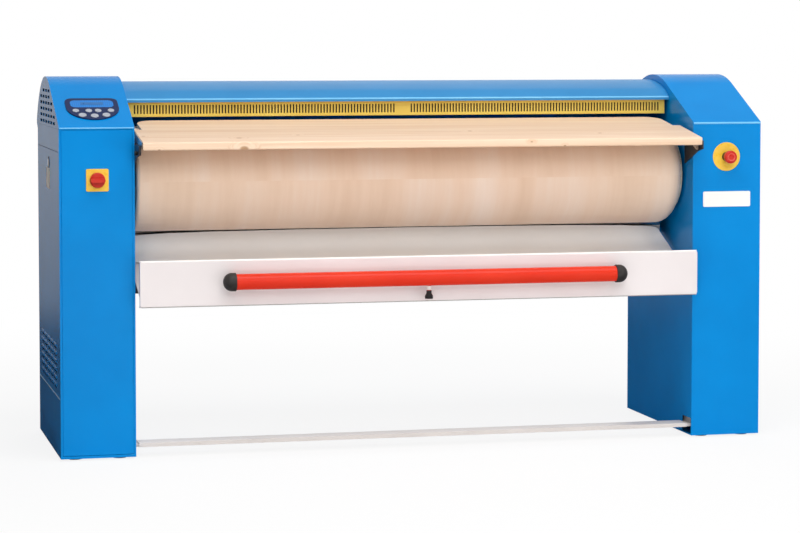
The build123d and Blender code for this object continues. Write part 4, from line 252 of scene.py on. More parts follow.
@dataclass(frozen=True)
class Softwood(Finish):
    """Edge-glued softwood staves, planed and lacquered: pale, close grain along X, a few small knots.

    Growth rings 3 mm apart, staves 88 mm wide. Each knot has its middle and its half width, and the grain
    bends round it; a knot is long along the stave because it is cut aslant.
    """

    pale: str
    dark: str
    knot: str
    knots: tuple[tuple[Point, float], ...]
    stave: float = 0.088

    def near_knot(self, tree: Tree, place: Output, reach: float, strength: float) -> Output:
        """Grade from a strength in the middle of each knot down to nothing.

        Args:
            tree: The material's node tree.
            place: Where the patterns lie.
            reach: How far from its middle nothing is left, in the knot's half widths.
            strength: What the middle gives.

        Returns:
            The node that gives the grade.
        """
        total = None
        for middle, half in self.knots:
            gap = add_node(tree, "VectorMath", {0: place, 1: middle}, operation="SUBTRACT")
            squeezed = add_node(tree, "VectorMath", {0: gap, 1: (0.62, 1.0, 1.0)}, operation="MULTIPLY")
            away = add_node(tree, "VectorMath", {0: squeezed}, operation="LENGTH")
            near = add_node(tree, "MapRange", {"Value": away.outputs["Value"], 1: half * reach * 0.45,
                                               2: half * reach, 3: strength, 4: 0.0},
                            interpolation_type="SMOOTHSTEP")
            total = near if total is None else add_node(tree, "Math", {0: total, 1: near}, operation="MAXIMUM")
        return total

    def shade_nodes(self, tree: Tree, place: Output) -> None:
        """Fill the material's node tree.

        Args:
            tree: The node tree.
            place: Coordinates that the patterns are laid by.
        """
        axes = add_node(tree, "SeparateXYZ", {0: place})
        stave = add_node(tree, "Math", {0: axes.outputs["Y"], 1: self.stave}, operation="DIVIDE")
        number = add_node(tree, "Math", {0: stave}, operation="FLOOR")
        offset = add_node(tree, "CombineXYZ", {0: number, 1: number})
        shifted = add_node(tree, "VectorMath", {0: place, 1: offset}, operation="ADD")
        stretched = add_node(tree, "Mapping", {"Vector": shifted, "Scale": (1.3, 46.0, 60.0)})
        bent = add_node(tree, "VectorMath", {0: self.near_knot(tree, place, 3.2, 1.0), 1: (0.0, 1.8, 1.8)},
                        operation="MULTIPLY")
        pushed = add_node(tree, "VectorMath", {0: stretched, 1: bent}, operation="ADD")
        rings = add_node(tree, "TexNoise", {"Vector": pushed, "Scale": 1.0, "Detail": 3.0, "Distortion": 0.5})
        fine = add_node(tree, "Mapping", {"Vector": place, "Scale": (14.0, 900.0, 900.0)})
        fibre = add_node(tree, "TexNoise", {"Vector": fine, "Scale": 1.0, "Detail": 2.0})
        grain = add_node(tree, "ValToRGB", {"Fac": rings}, [(0.36, self.dark), (0.62, self.pale)])
        tone = add_node(tree, "TexWhiteNoise", {"W": number}, noise_dimensions="1D")
        shift = add_node(tree, "MapRange", {"Value": tone, 3: 0.96, 4: 1.04})
        toned = add_node(tree, "HueSaturation", {"Color": grain, "Value": shift})
        colour = add_node(tree, "Mix", {0: self.near_knot(tree, place, 1.0, 0.8), 6: toned, 7: linear(self.knot)},
                          data_type="RGBA")
        surface(tree, colour.outputs[2], (fibre, 0.0, 1.0, 0.42, 0.56), (fibre, 0.12, 0.0003), {"IOR": 1.5})


@dataclass(frozen=True)
class WovenCotton(Finish):
    """Plain-woven cotton round the roll, ironed smooth and faintly scorched in bands by use.

    The threads are 0.5 mm apart and are drawn at 2 mm, so that the weave shows at all.
    """

    shade: str
    scorched: str
    bleached: str
    thread: float = 0.002

    def coordinates(self, tree: Tree) -> Output:
        """Where the patterns lie: on the cover's own map, in metres along the roll and round it."""
        return add_node(tree, "UVMap", uv_map="cloth").outputs[0]

    def shade_nodes(self, tree: Tree, place: Output) -> None:
        """Fill the material's node tree.

        Args:
            tree: The node tree.
            place: Coordinates that the patterns are laid by.
        """
        banded = add_node(tree, "Mapping", {"Vector": place, "Scale": (7.0, 0.5, 1.0)})
        bands = add_node(tree, "TexNoise", {"Vector": banded, "Scale": 1.0, "Detail": 5.0, "Roughness": 0.6})
        warp, weft = (add_node(tree, "TexWave", {"Vector": place, "Scale": 0.314 / self.thread},
                               bands_direction=way).outputs["Fac"] for way in "XY")
        weave = add_node(tree, "Math", {0: warp, 1: weft}, operation="MULTIPLY")
        creased = add_node(tree, "Mapping", {"Vector": place, "Scale": (55.0, 4.0, 1.0)})
        crease = add_node(tree, "TexNoise", {"Vector": creased, "Scale": 1.0, "Detail": 4.0})
        folds = add_node(tree, "Bump", {"Height": crease, "Strength": 0.22, "Distance": 0.004})
        surface(tree, (bands, [(0.3, self.scorched), (0.5, self.shade), (0.72, self.bleached)]), 0.88,
                (weave, 0.25, 0.0006, folds), {"Sheen Weight": 0.25, "Sheen Roughness": 0.5, "IOR": 1.45})


@dataclass(frozen=True)
class NeedledFelt(Finish):
    """Needled wool felt: a matt, off-white mat of loose fibres, 4 mm tufts."""

    shade: str
    dark: str

    def shade_nodes(self, tree: Tree, place: Output) -> None:
        """Fill the material's node tree.

        Args:
            tree: The node tree.
            place: Coordinates that the patterns are laid by.
        """
        tufts = add_node(tree, "TexNoise", {"Vector": place, "Scale": 250.0, "Detail": 6.0})
        surface(tree, (tufts, [(0.35, self.dark), (0.65, self.shade)]), 0.97, (tufts, 0.6, 0.002),
                {"Sheen Weight": 0.4})


@dataclass(frozen=True)
class WorkedMetal(Finish):
    """Bare metal with the marks of its working: brushed, ground, rolled or turned.

    Marks 0.6 mm apart are drawn at 1.6 mm across, and as long as the grain stretches them.
    """

    shade: str
    bright: str
    grain: Grain
    mark: float = 0.0016
    roughness: float = 0.32

    def shade_nodes(self, tree: Tree, place: Output) -> None:
        """Fill the material's node tree.

        Args:
            tree: The node tree.
            place: Coordinates that the patterns are laid by.
        """
        pulled = add_node(tree, "Mapping", {"Vector": place, "Scale": self.grain.value})
        marks = add_node(tree, "TexNoise", {"Vector": pulled, "Scale": 1 / self.mark, "Detail": 4.0})
        cloud = add_node(tree, "TexNoise", {"Vector": place, "Scale": 9.0, "Detail": 3.0})
        both = add_node(tree, "Math", {0: marks, 1: cloud}, operation="MULTIPLY")
        surface(tree, (both, [(0.12, self.shade), (0.4, self.bright)]),
                (marks, 0.3, 0.7, self.roughness - 0.06, self.roughness + 0.08), (marks, 0.12, 0.0002),
                {"Metallic": 1.0})


@dataclass(frozen=True)
class SpangledZinc(Finish):
    """Hot-dipped sheet: overlapping zinc crystals 9 mm across, each with its own sheen."""

    shade: str
    bright: str
    crystal: float = 0.009

    def shade_nodes(self, tree: Tree, place: Output) -> None:
        """Fill the material's node tree.

        Args:
            tree: The node tree.
            place: Coordinates that the patterns are laid by.
        """
        cells = add_node(tree, "TexVoronoi", {"Vector": place, "Scale": 1 / self.crystal})
        tone = add_node(tree, "SeparateColor", {0: cells.outputs["Color"]})
        surface(tree, (tone, [(0.1, self.shade), (0.9, self.bright)]), (tone.outputs[1], 0.0, 1.0, 0.34, 0.55),
                (cells.outputs["Distance"], 0.06, 0.0003), {"Metallic": 0.9})


@dataclass(frozen=True)
class CastPaint(Finish):
    """Machine enamel over sand-cast iron: the 2 mm sand grain shows through, and dirt sits in it."""

    shade: str
    dirt: str
    grit: float = 0.002

    def shade_nodes(self, tree: Tree, place: Output) -> None:
        """Fill the material's node tree.

        Args:
            tree: The node tree.
            place: Coordinates that the patterns are laid by.
        """
        sand = add_node(tree, "TexNoise", {"Vector": place, "Scale": 1 / self.grit, "Detail": 4.0})
        soil = add_node(tree, "TexNoise", {"Vector": place, "Scale": 24.0, "Detail": 5.0})
        surface(tree, (soil, [(0.3, self.dirt), (0.55, self.shade)]), 0.5, (sand, 0.3, 0.0006))


@dataclass(frozen=True)
class OiledSteel(Finish):
    """Hardened chain steel under a film of oil: near black, glossy where it is wet."""

    shade: str
    oil: str

    def shade_nodes(self, tree: Tree, place: Output) -> None:
        """Fill the material's node tree.

        Args:
            tree: The node tree.
            place: Coordinates that the patterns are laid by.
        """
        film = add_node(tree, "TexNoise", {"Vector": place, "Scale": 60.0, "Detail": 5.0})
        surface(tree, (film, [(0.4, self.oil), (0.62, self.shade)]), (film, 0.35, 0.65, 0.16, 0.48),
                sockets={"Metallic": 0.85})


@dataclass(frozen=True)
class MouldedPlastic(Finish):
    """Injection-moulded plastic with a spark-eroded texture of 0.8 mm and a little handling wear."""

    shade: str
    worn: str
    roughness: float = 0.36
    texture: float = 0.0008

    def shade_nodes(self, tree: Tree, place: Output) -> None:
        """Fill the material's node tree.

        Args:
            tree: The node tree.
            place: Coordinates that the patterns are laid by.
        """
        wear = add_node(tree, "TexNoise", {"Vector": place, "Scale": 70.0, "Detail": 4.0})
        spark = add_node(tree, "TexNoise", {"Vector": place, "Scale": 1 / self.texture, "Detail": 2.0})
        surface(tree, (wear, [(0.42, self.shade), (0.78, self.worn)]),
                (wear, 0.3, 0.7, self.roughness - 0.05, self.roughness + 0.08), (spark, 0.12, 0.0002), {"IOR": 1.49})


@dataclass(frozen=True)
class Backlight(Finish):
    """Lit display behind its tinted window: a bright field with a faint grid of blank cells.

    Cells of 5 by 8 mm stand in two rows, on axes turned to the heads' slope.
    """

    shade: str
    cell: str
    slope: float

    def shade_nodes(self, tree: Tree, place: Output) -> None:
        """Fill the material's node tree.

        Args:
            tree: The node tree.
            place: Coordinates that the patterns are laid by.
        """
        level = add_node(tree, "Mapping", {"Vector": place, "Rotation": (-self.slope, 0.0, 0.0)})
        cell = linear(self.cell)
        cells = add_node(tree, "TexBrick", {"Vector": level, "Scale": 1.0, "Mortar Size": 0.0007,
                                            "Brick Width": 0.0062, "Row Height": 0.0105, "Color1": cell,
                                            "Color2": cell, "Mortar": linear(self.shade)}, offset=0.0)
        surface(tree, cells, 0.3, sockets={"Emission Color": cells, "Emission Strength": 0.16, "IOR": 1.45})


# Powder coats: satin colours without depth. The shell's blue is the calmest; the hood's is a greyer, glossier copy
# of it that paints in its sheen, pale lines along the folds are painted highlights, and white is creamy.
BLUE_COAT = PowderCoat("blue_powder_coat", "#0084CF", "#008AD6", specular=0.15)
# Pale blue for the lines along the folds: painted highlights.
FOLD_HIGHLIGHT_COAT = PowderCoat("blue_powder_coat_painted_fold_highlight", "#6CBDEE", "#86CBF2")
WHITE_COAT = PowderCoat("white_powder_coat", "#E5DDDC", "#EAE2E1", roughness=0.32)
PALE_COAT = PowderCoat("pale_grey_powder_coat", "#D9D2CD", "#E1DAD5", roughness=0.3)
# A grey copy of the chute's white, laid along its lower hem as painted shade under the bend.
HEM_SHADE_COAT = PowderCoat("white_coat_painted_shade", "#98948F", "#A19D98", roughness=0.5)
# Copy of the shell's blue for the hood, greyer and glossier: its greyer colour is painted sheen.
HOOD_COAT = PowderCoat("blue_powder_coat_painted_sheen", "#2A84BE", "#2F8AC5", roughness=0.42, specular=0.6)
YELLOW_COAT = PowderCoat("yellow_powder_coat", "#DDBE55", "#E6C962", roughness=0.4)
RED_COAT = PowderCoat("red_powder_coat", "#DC2E15", "#E1351A", roughness=0.24, specular=0.4)
# A brighter copy of the chute's white: painted light on the sweep in the roll's shade, and a painted highlight on
# the rim.
LIT_WHITE_COAT = PowderCoat("white_powder_coat_painted_light", "#FCFAF7", "#FDFCFA", roughness=0.34)
CREAM_ENAMEL = PowderCoat("stoved_cream_enamel", "#EDE3D8", "#F2EAE1", roughness=0.42)
MID_GREY_COAT = PowderCoat("mid_grey_powder_coat", "#38373A", "#434245", roughness=0.4)
GREY_COAT = PowderCoat("dark_grey_enamel", "#33363A", "#3C4044", roughness=0.42)
# Planed and lacquered softwood: a warm, pale board with brown knots, most of them along its front edge.
SOFTWOOD = Softwood("planed_softwood", "#F2D5B9", "#E8C5A5", "#A9794A", (
    ((-0.5655, -0.3918, 0.9274), 0.0105), ((-0.8181, -0.3918, 0.9249), 0.004), ((0.4232, -0.3918, 0.926), 0.004),
    ((-0.8512, -0.292, 0.9634), 0.005), ((-0.5712, -0.333, 0.9571), 0.007), ((-0.3848, -0.2948, 0.963), 0.005),
    ((0.1608, -0.2554, 0.9691), 0.006), ((0.5626, -0.3058, 0.9613), 0.005), ((0.318, -0.3892, 0.940), 0.0045)))
# Cotton is a matt, warm beige in soft bands, and the felt under it is greyer and hairy.
COTTON = WovenCotton("woven_cotton_cover", "#ECD0B8", "#E4C5AA", "#F1DDCC")
FELT = NeedledFelt("needled_felt", "#DCD3C2", "#C3B8A4")
# Bare metals: brushed ones streak the light, the ground chest mirrors it, heated tube is straw and brown,
# plated and chromed parts are bright points, and galvanised sheet is a patchwork of greys.
STAINLESS = WorkedMetal("brushed_stainless", "#CFCCC8", "#E8E5E1", Grain.BRUSHED_ACROSS, roughness=0.42)
CHEST_STEEL = WorkedMetal("ground_chest_plate", "#A4A4A2", "#C6C6C3", Grain.GROUND, roughness=0.2)
HEATER_TUBE = WorkedMetal("heat_tinted_tube", "#4B3B33", "#7A6552", Grain.ROLLED, roughness=0.4)
ROLLED_STEEL = WorkedMetal("rolled_steel", "#77787A", "#9A9B9C", Grain.ROLLED, roughness=0.42)
PLATED_STEEL = WorkedMetal("zinc_plated_steel", "#A9AAAC", "#CDCED0", Grain.TURNED, roughness=0.25)
CHROME = WorkedMetal("chromed_casting", "#C9CACC", "#E4E4E6", Grain.TURNED, roughness=0.14)
PRESSED_ALLOY = WorkedMetal("pressed_alloy", "#B4B6B8", "#D0D2D4", Grain.ROLLED, roughness=0.34)
ZINC_SHEET = SpangledZinc("galvanised_sheet", "#A3A8AA", "#C9CDCF")
# Enamelled castings look rough and a little dirty, and the chain wet and black.
MOTOR_PAINT = CastPaint("enamelled_motor_casting", "#4A5561", "#2F363D")
BEARING_PAINT = CastPaint("enamelled_bearing_iron", "#3C4F63", "#26313C")
CHAIN_STEEL = OiledSteel("oiled_chain_steel", "#4A4A4C", "#1E1D1C")
# Plastics, rubber and films: even colours; rubber and the dark sheet of painted shade behind the guard are dull,
# knobs and buttons have a soft shine.
RUBBER = MouldedPlastic("moulded_rubber", "#2E2A28", "#3C3836", roughness=0.62, texture=0.0014)
FIELD_FILM = MouldedPlastic("blank_display_field", "#2A6BAA", "#2F73B4", roughness=0.3)
# A lighter copy of the stop head's red for its dish: painted highlight on the raised ring.
RING_HIGHLIGHT_PLASTIC = MouldedPlastic("red_moulding_painted_highlight", "#DE5548", "#E46456", roughness=0.24)
NYLON = MouldedPlastic("turned_white_nylon", "#E9E3DC", "#F1ECE6", roughness=0.4)
# Dark brown sheet behind the guard: painted shade seen through its slots.
SLOT_SHADE_SHEET = MouldedPlastic("dark_sheet_painted_slot_shade", "#2B1C10", "#3A2716", roughness=0.7, texture=0.0016)
NAVY_FILM = MouldedPlastic("printed_navy_film", "#07204F", "#0A2759", roughness=0.42)
KEY_CAP = MouldedPlastic("silver_lacquered_key", "#A9AEB8", "#BCC0C8", roughness=0.36)
YELLOW_PLASTIC = MouldedPlastic("yellow_moulding", "#F3C23C", "#F6CB52", roughness=0.3)
RED_PLASTIC = MouldedPlastic("red_moulding", "#CB2716", "#D33524", roughness=0.3)
BLACK_PLASTIC = MouldedPlastic("black_moulding", "#1B1B1D", "#262628", roughness=0.42)
KNOB_PLASTIC = MouldedPlastic("dark_knob_moulding", "#201F1F", "#2C2B2A", roughness=0.4)
LABEL_FILM = MouldedPlastic("white_label_film", "#F5F3EF", "#F6F4F0", roughness=0.5)
PLATE_FILM = MouldedPlastic("beige_plate_film", "#D9C9AE", "#E2D4BC", roughness=0.32)
# The display glows a clear blue.
DISPLAY = Backlight("backlit_display", "#1F7FD0", "#186DBA", radians(24.5))

SLOT_FINISH: dict[str, Finish] = {
    "shell_paint": BLUE_COAT, "frame_paint": GREY_COAT, "tray_paint": WHITE_COAT, "guard_paint": YELLOW_COAT,
    "bar_paint": RED_COAT, "stainless": STAINLESS, "chest_steel": CHEST_STEEL, "heater_sheath": HEATER_TUBE,
    "galvanised": ZINC_SHEET, "core_steel": ROLLED_STEEL, "pin_steel": PLATED_STEEL, "chain_steel": CHAIN_STEEL,
    "motor_casting": MOTOR_PAINT, "bearing_iron": BEARING_PAINT, "impeller_alloy": PRESSED_ALLOY,
    "softwood": SOFTWOOD, "roll_cotton": COTTON, "roll_felt": FELT, "cap_rubber": RUBBER,
    "panel_navy": NAVY_FILM, "display": DISPLAY, "key_silver": KEY_CAP, "switch_yellow": YELLOW_PLASTIC,
    "switch_red": RED_PLASTIC, "switch_black": BLACK_PLASTIC, "knob_dark": KNOB_PLASTIC, "lock_chrome": CHROME,
}


def slot_of(node: str) -> str:
    """Name of the record's material slot that a node has."""
    return next(part["material_slot"] for part in frame["record"]["subparts"] if part["node"] == node)


def body_of(node: str) -> str:
    """Name of the body that a CAD node rides on."""
    return frame["nodes"][node]["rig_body"]


def deselect() -> None:
    """Leave edit mode and select nothing."""
    if bpy.context.mode != "OBJECT":
        bpy.ops.object.mode_set(mode="OBJECT")
    bpy.ops.object.select_all(action="DESELECT")


def take(piece: Piece) -> None:
    """Make one object the only one selected, and the active one.

    Args:
        piece: The object.
    """
    deselect()
    piece.select_set(True)
    bpy.context.view_layer.objects.active = piece


def open_mesh(piece: Piece) -> None:
    """Go into edit mode on one object, with all of it selected.

    Args:
        piece: The object.
    """
    if piece.mode != "EDIT":
        take(piece)
        bpy.ops.object.mode_set(mode="EDIT")
    bpy.ops.mesh.select_all(action="SELECT")


def pick(piece: Piece, kind: str, test: Test) -> None:
    """Open an object's mesh and select the parts of it that pass a test, and nothing else.

    Args:
        piece: The object.
        kind: VERT, EDGE or FACE.
        test: Takes the part's middle and its normal; an edge gives its own direction as normal.
    """
    open_mesh(piece)
    bpy.ops.mesh.select_mode(type=kind)
    bpy.ops.mesh.select_all(action="DESELECT")
    mesh = bmesh.from_edit_mesh(piece.data)
    for part in {"VERT": mesh.verts, "EDGE": mesh.edges, "FACE": mesh.faces}[kind]:
        if kind == "EDGE":
            start, end = (vertex.co for vertex in part.verts)
            middle, normal = (start + end) / 2, (end - start).normalized()
        else:
            middle = part.co.copy() if kind == "VERT" else part.calc_center_median()
            normal = part.normal
        if test(middle, normal):
            part.select_set(True)
    mesh.select_flush_mode()
    bmesh.update_edit_mesh(piece.data)


def along(axis: int) -> Test:
    """Test that edges pass which run along an axis, or faces square to it."""
    return lambda middle, run: abs(run[axis]) > ALONG


def ease(piece: Piece, width: float, segments: int, test: Test) -> None:
    """Bevel the edges of an object that pass a test."""
    pick(piece, "EDGE", test)
    bpy.ops.mesh.bevel(offset=width, segments=segments)


def recess(piece: Piece, test: Test, rim: float, step: float, depth: float) -> None:
    """Inset the faces of an object that pass a test, and step them in or out once more.

    Args:
        piece: The object.
        test: The faces' test.
        rim: Width of the rim that is left round them.
        step: Width of the slope inside the rim.
        depth: How far the slope rises, or falls if it is negative.
    """
    pick(piece, "FACE", test)
    bpy.ops.mesh.inset(thickness=rim)
    bpy.ops.mesh.inset(thickness=step, depth=depth)


def newest(name: str, scale: Sequence[float] = (1.0, 1.0, 1.0)) -> Piece:
    """Name the object that was added last, and put its place, turn and size in its mesh.

    Args:
        name: The object's name.
        scale: Its size along each axis.

    Returns:
        The object.
    """
    piece = bpy.context.active_object
    piece.name = piece.data.name = name
    piece.scale = scale
    bpy.ops.object.transform_apply(location=True, rotation=True, scale=True)
    return piece


def start_block(name: str, low: Point, high: Point) -> Piece:
    """Add a block between two corners, as the start of a piece.

    Args:
        name: The object's name.
        low: Its lowest corner.
        high: Its highest corner.

    Returns:
        The object.
    """
    deselect()
    bpy.ops.mesh.primitive_cube_add(size=1, location=[(a + b) / 2 for a, b in zip(low, high)])
    return newest(name, [b - a for a, b in zip(low, high)])


def start_rod(name: str, start: Point, end: Point, radius: float, sides: int) -> Piece:
    """Add a round rod between two points, as the start of a piece.

    Args:
        name: The object's name.
        start: Middle of its first end.
        end: Middle of its other end.
        radius: Its radius.
        sides: Steps round it.

    Returns:
        The object.
    """
    deselect()
    run = Vector(end) - Vector(start)
    bpy.ops.mesh.primitive_cylinder_add(vertices=sides, radius=radius, depth=run.length,
                                        rotation=run.to_track_quat("Z", "Y").to_euler(),
                                        location=(Vector(start) + Vector(end)) / 2)
    return newest(name)


def apply_modifier(piece: Piece, kind: str, **settings) -> None:
    """Put a modifier on an object and apply it at once.

    Args:
        piece: The object.
        kind: Type of modifier.
        settings: Properties of the modifier.
    """
    take(piece)
    modifier = piece.modifiers.new(kind.lower(), kind)
    for name, value in settings.items():
        setattr(modifier, name, value)
    bpy.ops.object.modifier_apply(modifier=modifier.name)


def turn_out(piece: Piece) -> None:
    """Merge an object's doubles and turn its faces outwards.

    Args:
        piece: The object.
    """
    open_mesh(piece)
    bpy.ops.mesh.remove_doubles(threshold=1e-6)
    bpy.ops.mesh.normals_make_consistent(inside=False)


def settle(piece: Piece, body: str, finish: Finish,
           replaced: Sequence[str] = (), angle: float = 32) -> None:
    """Finish a piece: its shading, finish, body and the CAD nodes it stands for.

    Args:
        piece: The object, in its place.
        body: Body that it rides on.
        finish: What it is made of.
        replaced: CAD nodes that it stands for.
        angle: Edges sharper than this stay sharp, in degrees.
    """
    take(piece)
    bpy.ops.object.shade_smooth_by_angle(angle=radians(angle))
    apply_modifier(piece, "WEIGHTED_NORMAL", keep_sharp=True)
    piece.data.materials.clear()
    piece.data.materials.append(finish.material())
    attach(piece, body)
    if replaced:
        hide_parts(*replaced)
    log.info("%s: %d faces of %s on %s", piece.name, len(piece.data.polygons), finish.name, body)


def softened(node: str, width: float, segments: int = 2, finish: Optional[Finish] = None) -> None:
    """Stand a copy with rounded edges in for a CAD node, its loose triangles merged to one skin first.

    Args:
        node: The CAD node.
        width: Width of the rounding, in metres.
        segments: Steps across each rounding.
        finish: What it is made of, or none for the finish of the node's slot.
    """
    piece = bpy.data.objects.new(f"{node}_edged", frame["nodes"][node].data.copy())
    bpy.context.scene.collection.objects.link(piece)
    open_mesh(piece)
    bpy.ops.mesh.remove_doubles(threshold=2e-6)
    bpy.ops.mesh.dissolve_limited(angle_limit=radians(0.6))
    take(piece)
    bpy.ops.mesh.customdata_custom_splitnormals_clear()
    apply_modifier(piece, "BEVEL", width=width, segments=segments, limit_method="ANGLE", angle_limit=radians(38),
                   use_clamp_overlap=True, harden_normals=False)
    slot = slot_of(node)
    settle(piece, body_of(node), finish or SLOT_FINISH[slot], [node])


def turned(angle: float, axis: str, centre: Point) -> Matrix:
    """Turn by an angle in radians about an axis through a point."""
    return Matrix.Translation(centre) @ Matrix.Rotation(angle, 4, axis) @ Matrix.Translation([-c for c in centre])


def repeat(piece: Piece, moves: Sequence[Matrix]) -> None:
    """Set an object's mesh at the first move and a copy of it at each other one, all in one object.

    Args:
        piece: The object.
        moves: Shifts and turns from where it is.
    """
    take(piece)
    for move in moves[1:]:
        mesh = piece.data.copy()
        mesh.transform(move)
        other = bpy.data.objects.new(piece.name, mesh)
        bpy.context.scene.collection.objects.link(other)
        other.select_set(True)
    piece.data.transform(moves[0])
    bpy.ops.object.join()


@dataclass(frozen=True)
class SlotField:
    """Level slots cut in a sheet: their length, and the pitch, number and middle of their columns and rows."""

    length: float
    pitch: float
    columns: int
    row_pitch: float
    rows: int
    centre: float

    def heights(self) -> list[float]:
        """Heights of the rows, from the lowest."""
        return [self.centre + (row - (self.rows - 1) / 2) * self.row_pitch for row in range(self.rows)]

    def first_column(self) -> float:
        """Where the first column stands, from the middle of them all."""
        return -self.pitch * (self.columns - 1) / 2


@dataclass(frozen=True)
class BarePlate:
    """Bare plate: a raised rim round an empty middle, facing against one axis.

    Its place is that of its middle, by X, depth and Z. The corner is a radius and its steps, and the rim
    has its width, the width of the slope inside it and the slope's depth.
    """

    name: str
    body: str
    finish: Finish
    axis: int
    place: Point
    size: Point
    corner: tuple[float, int]
    rim: Point

    def build(self) -> None:
        """Fit the plate."""
        middle = placed(self.place)
        piece = start_block(self.name, [a - b / 2 for a, b in zip(middle, self.size)],
                            [a + b / 2 for a, b in zip(middle, self.size)])
        ease(piece, *self.corner, along(self.axis))
        recess(piece, lambda centre, normal: normal[self.axis] < -ALONG, *self.rim)
        settle(piece, self.body, self.finish)


@dataclass(frozen=True)
class FoldHighlight:
    """Painted highlight along a fold, as a pale line: its body, both ends by X, depth and Z, and its radius."""

    name: str
    body: str
    start: Point
    end: Point
    radius: float

    def build(self) -> None:
        """Lay its pale line of painted highlight, a sliver proud of the sheet by 0.4 mm, with its first end eased.
        """
        start, end = Vector(placed(self.start)), Vector(placed(self.end))
        run = (end - start).normalized()
        piece = start_rod(self.name, start, end, self.radius, 20)
        ease(piece, self.radius * 0.4, 2, lambda middle, edge: (middle - start).length < self.radius * 1.5
             and abs(edge.dot(run)) < ACROSS)
        settle(piece, self.body, FOLD_HIGHLIGHT_COAT)


@dataclass
class Shells:
    """Painted sheet shells of both end cabinets, with the hood and the rear cover between them."""

    edge: float = 0.0007
    door_face: float = 1.100
    door_depth: float = 0.325
    door_slots: SlotField = SlotField(0.074, 0.090, 5, 0.024, 6, 0.268)
    louvre_rise: float = 0.0018
    louvre_half: float = 0.0075
    louvre_drop: float = 0.002
    sunk: float = 0.0004
    rear_centre: Point = (0.0, 0.430, 0.949)
    rear_radius: float = 0.1683
    rear_slots: SlotField = SlotField(0.055, 0.090, 14, 0.019, 3, 1.000)
    rear_hood: Point = (0.003, 0.005, 0.008)
    rear_round: float = 0.0045
    # Corners of the dark sheet behind the guard, which paints the shade seen through its slots.
    shade_sheet: tuple[Point, Point] = ((-0.8625, 0.2432, 1.0155), (0.8625, 0.2440, 1.0545))
    # Pale lines along the folds of the heads, the hood and the left door: painted highlights.
    folds: tuple[FoldHighlight, ...] = (
        FoldHighlight("right_head_fold_highlight", "frame", (0.8775, 0.0032, 0.9882), (1.0985, 0.0032, 0.9882), 0.0042),
        FoldHighlight("left_head_fold_highlight", "frame", (-1.0985, 0.0026, 0.9882), (-0.8775, 0.0026, 0.9882), 0.0031),
        FoldHighlight("hood_fold_highlight", "frame", (-0.874, 0.2299, 1.0655), (0.874, 0.2299, 1.0655), 0.0033),
        FoldHighlight("left_door_fold_highlight", "left_door", (-1.0993, 0.022, 0.1822), (-1.0993, 0.608, 0.1822), 0.0020))
    door_plate: BarePlate = BarePlate("left_data_plate", "left_door", PLATE_FILM, 0, (-1.1003, 0.314, 0.8265),
                                      (0.0010, 0.090, 0.063), (0.003, 4), (0.0025, 0.0006, -0.0002))
    front_plate: BarePlate = BarePlate("right_badge", "frame", LABEL_FILM, 1, (0.988, -0.00065, 0.750),
                                       (0.156, 0.0017, 0.048), (0.004, 5), (0.0022, 0.0005, -0.0003))
    rivet_inset: float = 0.006
    rivet_radius: float = 0.0022

    def build(self) -> None:
        """Stand in the edged shells and fit what is pressed in or riveted on."""
        for node in ("left_cabinet", "right_cabinet", "left_head_cover", "right_head_cover", "left_front_panel",
                     "left_service_door", "right_service_door"):
            softened(node, self.edge)
        # The hood takes the greyer copy of the blue, whose colour is painted sheen.
        softened("hood", self.edge, finish=HOOD_COAT)
        for side, sign in SIDES:
            self.louvres(side, sign)
        self.rear_louvres()
        for fold in self.folds:
            fold.build()
        self.slot_shade_sheet()
        self.door_plate.build()
        self.rivets()
        self.front_plate.build()

    def louvres(self, side: str, sign: int) -> None:
        """Press a low hood over each of a door's louvre slots.

        Args:
            side: left or right.
            sign: That side's sign along X.
        """
        slots, x = self.door_slots, sign * self.door_face
        y, z = at(self.door_depth) + slots.first_column(), slots.heights()[0] + 2 * self.louvre_drop
        half = slots.length / 2
        piece = start_rod(f"{side}_door_louvres", (x, y - half, z), (x, y + half, z), self.louvre_half, 16)
        for place, normal in (((x - sign * self.sunk, y, z), (sign, 0, 0)),
                              ((x, y, z - self.louvre_drop), (0, 0, 1))):
            open_mesh(piece)
            bpy.ops.mesh.bisect(plane_co=place, plane_no=normal, clear_inner=True)
        for vertex in bmesh.from_edit_mesh(piece.data).verts:
            vertex.co.x = x + (vertex.co.x - x) * self.louvre_rise / self.louvre_half
        bmesh.update_edit_mesh(piece.data)
        repeat(piece, [Matrix.Translation((0.0, column * slots.pitch, row * slots.row_pitch))
                       for column in range(slots.columns) for row in range(slots.rows)])
        settle(piece, f"{side}_door", BLUE_COAT)

    def rear_louvres(self) -> None:
        """Press a hood, open downwards, over each slot of the rear cover's rounded top."""
        slots, centre, (margin, rise, reach) = self.rear_slots, placed(self.rear_centre), self.rear_hood
        x, y, z = slots.first_column(), centre[1] + self.rear_radius, centre[2]
        half = slots.length / 2 + margin
        piece = start_block("rear_cover_louvres", (x - half, y - self.sunk, z - reach - 0.001),
                            (x + half, y + rise, z + reach))
        ease(piece, self.rear_round, 4,
             lambda middle, run: abs(run.x) > ALONG and middle.z > z and middle.y > y + rise - 0.001)
        pick(piece, "FACE", lambda middle, normal: normal.z < -ALONG or normal.y < -ALONG)
        bpy.ops.mesh.delete(type="FACE")
        apply_modifier(piece, "SOLIDIFY", thickness=0.001, offset=-1.0)
        tilts = [asin((height - z) / self.rear_radius) for height in slots.heights()]
        repeat(piece, [Matrix.Translation((column * slots.pitch, 0, 0)) @ turned(tilt, "X", centre)
                       for column in range(slots.columns) for tilt in tilts])
        settle(piece, "frame", BLUE_COAT)

